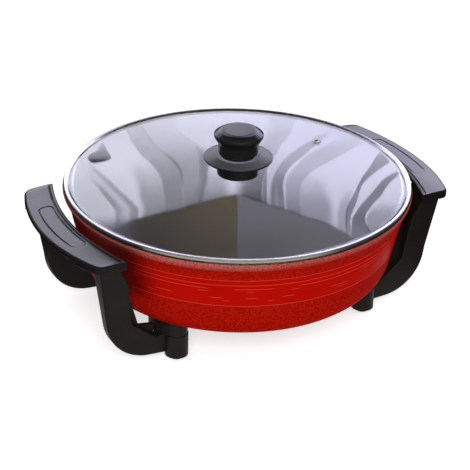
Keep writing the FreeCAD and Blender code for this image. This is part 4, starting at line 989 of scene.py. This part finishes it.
LEFT_STREAK = (6, 0.8, [
    (160, 85, 88.5, 94), (167, 90, 95.5, 84), (174, 97, 103, 76), (181, 104, 111, 70),
    (189, 112, 119, 66), (195, 118, 126, 64), (201, 124, 132, 62), (207, 130, 138, 62)])
LOW_STREAK = (0.9, 8, [
    (172, 80, 84, 97), (178, 87, 92, 92), (184, 94.5, 100, 80), (188, 98.5, 104.5, 70),
    (193, 102, 108.5, 60), (199, 106.5, 113.5, 60), (204, 111, 117.5, 62),
    (210, 115.5, 121.5, 72)])
LEFT_HOLLOW = (9, 0.6, [
    (158, 127, 146, 100), (168, 131, 155, 86), (176, 135, 160, 74), (184, 138, 162.5, 66),
    (190, 139, 163.3, 58), (198, 140, 164.5, 52), (206, 143, 165, 48)])
KNOB_FOLD = (14, 0.9, [
    (116, 268, 298, 90), (120, 269, 296, 88), (128, 270, 292, 86), (134, 268, 290, 82),
    (140, 264, 285.5, 76), (145, 260, 280, 74), (152, 255, 277, 68), (158, 250, 274, 58),
    (163, 245, 271, 52), (169, 240, 267, 44)])
UNDER_KNOB = (30, 0.9, [
    (168, 252, 267, 100), (172, 250, 265.5, 76), (176, 247, 263.5, 66), (184, 242, 262, 56),
    (192, 238, 261.5, 46), (200, 234, 262, 38)])
THIN_SHADE = (3, 1.5, [
    (146, 281, 294, 100), (160, 274, 286, 86), (170, 268, 278, 80), (180, 264, 274, 76),
    (190, 263, 273, 72), (200, 263, 273, 60)])
VENT_FOLD = (5, 1, [
    (129, 329, 338, 96), (137, 315, 326, 80), (141, 309, 319, 74), (146, 301, 314, 66),
    (153, 291, 306, 64), (160, 284, 297.5, 60), (166, 279, 290.5, 54), (172, 275.5, 286.5, 46),
    (178, 273, 284.2, 36), (186, 271.5, 283, 29), (195, 271, 284, 31), (205, 271.5, 284.5, 37)])
VENT_GLINT = (1, 1, [
    (180, 274, 277, 100), (188, 275, 278, 120), (204, 275.5, 278.5, 120)])
WIDE_SHADE = (6, 1.4, [
    (135, 340, 354, 97), (142, 332, 364, 86), (148, 320, 353, 78), (153, 310, 345, 75),
    (160, 301, 332, 73), (166, 295, 320, 72), (172, 290.5, 310, 67), (178, 286, 304.5, 62),
    (184, 285, 301.5, 58), (192, 285, 300, 52), (200, 285, 299.5, 44), (210, 285.5, 300.5, 38)])
BLUE_SHADE = (1, 12, [
    (170, 306, 318, 100), (180, 303, 324, 86), (190, 300, 326, 70), (200, 299.5, 330, 54),
    (208, 300, 332, 50)])
WEDGE = (0.9, 1, [
    (151.5, 380.5, 381.5, 62), (156, 376, 385.5, 52), (160, 373.5, 388.5, 50), (163, 372, 389, 48),
    (165, 370.5, 385, 47), (170, 367, 378, 46), (176, 362.5, 370, 38), (180, 360.5, 365.5, 34),
    (184, 358, 362, 32), (189, 356, 360, 34), (192, 354.5, 359, 44), (199, 350.5, 357.5, 40),
    (205, 347.5, 355, 36), (213, 345.5, 351.5, 36), (222, 345, 350, 42), (230, 346, 352, 50)])
BESIDE_WEDGE = (7, 2, [
    (188, 346, 353, 100), (196, 342, 351, 78), (205, 339, 348, 64), (215, 337, 347, 60)])
RIGHT_FOLD = (0.9, 0.9, [
    (171, 396, 397, 60), (174, 391, 399.5, 44), (177, 386, 396, 42), (180, 381.5, 392, 38),
    (184, 378.5, 388, 36), (190, 373.5, 384, 33), (195, 369, 381, 33), (200, 364.5, 376, 34),
    (206, 359.5, 371, 34), (211, 356, 367, 30), (217, 352.5, 365, 28), (223, 351.5, 366, 29),
    (230, 352, 370, 33)])
LOW_RIGHT = (2, 2, [
    (201, 384, 401, 100), (205, 376, 401, 78), (212, 369, 400, 60), (218, 366, 395, 57),
    (225, 367, 387, 55)])
DARK_CARD = (0.8, 0.8, [
    (142.5, 103, 103.4, 80), (146, 99.5, 105.5, 66), (150, 98, 107.5, 50), (153, 92, 109, 42),
    (155.5, 88.5, 111, 36), (158, 88, 111.5, 28), (159.4, 88.5, 109, 8), (161.4, 90.5, 103, 5),
    (162.6, 93, 97, 10), (163, 95, 95.2, 100)])
RIGHT_GLEAM = (1.2, 1, [
    (160, 397, 430, 100), (168, 398, 430, 160), (180, 401, 430, 170), (192, 402, 430, 170),
    (203, 399, 430, 160), (212, 393, 430, 140), (222, 386, 430, 100)])
LEFT_GLEAM = (1, 1.2, [
    (158, 40, 80, 100), (166, 40, 76, 150), (176, 40, 74, 160), (186, 40, 73.5, 160),
    (196, 40, 75, 150), (206, 40, 80, 130), (216, 40, 90, 100)])
FOLDS = [BROAD_FOLD, BESIDE_BROAD, CURL, LEFT_OF_COLLAR, PALE_STRIP, LEFT_STREAK, LOW_STREAK,
         LEFT_HOLLOW, KNOB_FOLD, UNDER_KNOB, THIN_SHADE, VENT_FOLD, VENT_GLINT, WIDE_SHADE,
         BLUE_SHADE, WEDGE, BESIDE_WEDGE, RIGHT_FOLD, LOW_RIGHT, DARK_CARD, RIGHT_GLEAM,
         LEFT_GLEAM]
# The cloth's upper hem in the picture: pixel column, pixel row
HEM = [(98, 222), (105, 221), (113, 220), (128, 219.3), (145, 215.5), (155, 213), (165, 210),
       (176, 208.5), (192, 203), (205, 200), (215, 197.5), (225, 195), (236, 193), (246, 196),
       (253, 199), (262, 201.5), (272, 206), (283, 208.5), (292, 212.5), (303, 216.5),
       (315, 219.5), (325, 223), (335, 227.5), (345, 233.5), (353, 239.5), (362, 246)]
# Above this the glass shows nothing of the cloth, only the band does: turn, height
GLASS_TOP = [(6, 1600), (8.5, 1440), (10.5, 1330), (13, 1240), (16, 1180), (18, 1120)]

# The lid's place in the picture, and the fit of pixels to places on the cloth
LID_COLUMNS = np.linspace(62, 410, 60)
LID_ROWS = np.linspace(110, 266, 50)
FIT_TURN = 20
FIT_TURN_UNIT = 16
FIT_HEIGHTS = (440, 1550)
FIT_HEIGHT_MIDDLE = 950
FIT_HEIGHT_UNIT = 500
FIT_POWERS = 6


def lid_mirror(column, row):
    """Turn and height on the cloth that the lid shows at a pixel: the ray from the eye is
    mirrored about the normal of the lid's sphere and followed to the cloth's radius."""
    ray = across * ((column - PICTURE / 2) / FOCAL_PIXELS)[..., None] - back + \
        upright * ((PICTURE / 2 - row) / FOCAL_PIXELS)[..., None]
    ray = ray / np.linalg.norm(ray, axis=-1, keepdims=True)
    middle = np.array([0, 0, GLASS_LOW + GLASS_THICK + GLASS_RISE - DOME_BOW])
    start = eye - middle
    nearing = ray @ start
    far = -nearing - np.sqrt(nearing ** 2 - start @ start + DOME_BOW ** 2)
    met = start + far[..., None] * ray
    normal = met / DOME_BOW
    out = ray - 2 * (ray * normal).sum(axis=-1, keepdims=True) * normal
    met = met + middle
    square = (out[..., :2] ** 2).sum(axis=-1)
    half = (out[..., :2] * met[..., :2]).sum(axis=-1)
    rest = (met[..., :2] ** 2).sum(axis=-1) - CLOTH_RADIUS ** 2
    spot = met + ((-half + np.sqrt(half ** 2 - square * rest)) / square)[..., None] * out
    turn = np.degrees(VIEW_TURN - np.arctan2(spot[..., 1], spot[..., 0]))
    return (turn + 180) % 360 - 180, spot[..., 2]


def powers(turn, height):
    """Products of powers of the turn and the height, up to the fifth degree together."""
    aside = np.clip(turn, -FIT_TURN, FIT_TURN) / FIT_TURN_UNIT
    up = (np.clip(height, *FIT_HEIGHTS) - FIT_HEIGHT_MIDDLE) / FIT_HEIGHT_UNIT
    return np.stack([aside ** i * up ** j for i in range(FIT_POWERS)
                     for j in range(FIT_POWERS - i)], axis=-1)


column_grid, row_grid = np.meshgrid(LID_COLUMNS, LID_ROWS)
mirror_powers = powers(*lid_mirror(column_grid.reshape(-1), row_grid.reshape(-1)))
to_column = np.linalg.lstsq(mirror_powers, column_grid.reshape(-1), rcond=None)[0]
to_row = np.linalg.lstsq(mirror_powers, row_grid.reshape(-1), rcond=None)[0]


def blend(share, first, second):
    """From the first colour at a share of 0 to the second at 1."""
    return first * (1 - share[..., None]) + second * share[..., None]


def cloth_glow(turn, height):
    """Colour of the cloth at a turn and a height. Where the lid shows it, its level and tint
    are multiplied by each fold's share between its two edges, and below the hem it is dim.
    Elsewhere it is bright at the sides and the rear, and dim with one window in front."""
    shown = powers(turn, height)
    column, row = shown @ to_column, shown @ to_row
    level = CLOTH_LEVEL * (1 - DULL_LEFT * fade(column, *DULL_LEFT_COLUMNS)
                           * ramp(row, *DULL_LEFT_ROWS))
    level = level * (1 - DULL_REAR * fade(row, *DULL_REAR_ROWS))
    for soft_left, soft_right, line in FOLDS:
        rows, lefts, rights, shares = np.array(line, float).T
        left, right = np.interp(row, rows, lefts), np.interp(row, rows, rights)
        here = ramp(column, left - soft_left / 2, left + soft_left / 2)
        here = here * fade(column, right - soft_right / 2, right + soft_right / 2)
        level = level * (1 - (1 - np.interp(row, rows, shares / 100)) * here)
    hem = np.interp(column, *np.array(HEM, float).T)
    level = level * (1 - DULL_HEM * ramp(row, hem - DULL_HEM_ROWS, hem))
    level = level * (1 - form(row - hem, *HEM_LINE) * ramp(column, *HEM_LINE_COLUMNS))
    glow = level[..., None] * blend(ramp(column, *TINT_COLUMNS), TINT_LEFT, TINT_RIGHT)
    dim = blend(ramp(column, *SHADE_MIDDLE_COLUMNS), SHADE_LEFT, SHADE_MIDDLE)
    dim = blend(ramp(column, *SHADE_RIGHT_COLUMNS), dim, SHADE_RIGHT)
    dim = dim * (1 - SHADE_FRONT * ramp(row, *SHADE_FRONT_ROWS)
                 * fade(column, *SHADE_FRONT_COLUMNS))[..., None]
    dim = blend(fade(column, *HAZE_COLUMNS), dim, HAZE)
    soft = HEM_SOFT + HEM_SOFT_LEFT * fade(column, *HEM_SOFT_COLUMNS)
    glow = blend(ramp(row, hem - HEM_ABOVE * soft, hem + HEM_BELOW * soft), glow, dim)
    aside = np.abs(turn)
    top = np.interp(aside, *np.array(GLASS_TOP, float).T)
    glow = blend(ramp(height, top, top + GLASS_TOP_SOFT), glow, CLOTH_LEVEL * TINT_RIGHT)
    canopy = np.maximum(ramp(height, *CANOPY_HEIGHTS) * ramp(aside, *CANOPY_TURNS),
                        ramp(height, *CANOPY_TOP))
    glow = blend(canopy, glow, CANOPY)
    glow = blend(ramp(height, *SKIRT_HEIGHTS), SKIRT, glow)
    from_front = (turn + 360) % 360 - 180
    glow = blend(fade(np.abs(from_front), *FRONT_TURNS), glow, FRONT_DIM)
    window = fade(np.abs(from_front - WINDOW_TURN), *WINDOW_TURNS)
    window = window * ramp(height, *WINDOW_FOOT) * fade(height, *WINDOW_HEAD)
    return glow + WINDOW_GLOW * window[..., None]


def glowing(name, shape, glow):
    """A closed ring of cloth that glows in its own colours, which only gloss and glass see."""
    made = Finish(name, (0, 0, 0), 1, specular=0)
    colours = made.node("Attribute", {"attribute_name": "glow"}).outputs["Color"]
    made.set(made.shader, "Emission Color", colours)
    made.set(made.shader, "Emission Strength", 1)
    ring = stage_object(name, *grid(shape, wrap_u=True), made.material)
    glow = np.concatenate([glow, np.ones(shape.shape[:2] + (1,))], axis=-1).reshape(-1)
    ring.data.attributes.new("glow", "FLOAT_COLOR", "POINT").data.foreach_set("color", glow)
    ring.visible_camera = False
    ring.visible_diffuse = False
    ring.visible_shadow = False
    return ring


turn_grid, height_grid = np.meshgrid(CLOTH_TURNS, CLOTH_HEIGHTS, indexing="ij")
world_turn = VIEW_TURN - np.radians(turn_grid)
cloth_shape = np.stack([CLOTH_RADIUS * np.cos(world_turn), CLOTH_RADIUS * np.sin(world_turn),
                        height_grid], axis=-1)
cloth_shape[:, -1] = (0, 0, CLOTH_CROWN)
glowing("soft_cloth", cloth_shape, cloth_glow((turn_grid + 180) % 360 - 180, height_grid))

# Dark table, lighter towards the eye, for what the band and the grips mirror from below
TABLE_REACH = np.array([[230, 500, CLOTH_RADIUS]])
TABLE_TURNS = 180
TABLE_DARK = 0.06
TABLE_LIGHT = 0.75
TABLE_LIGHT_FROM = (0.45, 0.9)
table_turn = np.linspace(0, FULL_TURN, TABLE_TURNS, endpoint=False)[:, None]
table_shape = np.stack([TABLE_REACH * np.cos(table_turn), TABLE_REACH * np.sin(table_turn),
                        0 * TABLE_REACH + 0 * table_turn], axis=-1)
nearness = -(table_shape[..., 0] * math.cos(VIEW_TURN)
             + table_shape[..., 1] * math.sin(VIEW_TURN)) / TABLE_REACH
table_light = TABLE_LIGHT * ramp(nearness, *TABLE_LIGHT_FROM)
table = glowing("dark_table", table_shape, TABLE_DARK + table_light[..., None] + np.zeros(3))
table.visible_transmission = False

# Lamps and world


def soft_lamp(name, place, width, depth, power):
    """Area lamp at a place in metres, facing the middle of the pot."""
    data = bpy.data.lights.new(name, "AREA")
    data.shape = "RECTANGLE"
    data.size = width
    data.size_y = depth
    data.energy = power
    aim = (Vector(POT_MIDDLE) - Vector(place)).to_track_quat("-Z", "Y")
    placed(name, data).matrix_world = \
        Matrix.Translation(Vector(place)) @ aim.to_matrix().to_4x4()


POT_MIDDLE = (0, 0, 0.08)
soft_lamp("front_lamp", (-1.05, -2.05, 1.5), width=1.4, depth=1.2, power=45)
soft_lamp("right_lamp", (1.9, -1, 1.4), width=1.2, depth=1.2, power=3)

ROOM_LIGHT = 0.5
world = bpy.data.worlds.new("pale_room")
bpy.context.scene.world = world
world.use_nodes = True
backdrop = world.node_tree.nodes["Background"]
level = world.node_tree.nodes.new("ShaderNodeMapRange")
level.inputs["To Min"].default_value = ROOM_LIGHT
level.inputs["To Max"].default_value = 1
world.node_tree.links.new(seen_directly(world.node_tree), level.inputs["Value"])
world.node_tree.links.new(level.outputs[0], backdrop.inputs["Strength"])
backdrop.inputs["Color"].default_value = (1, 1, 1, 1)
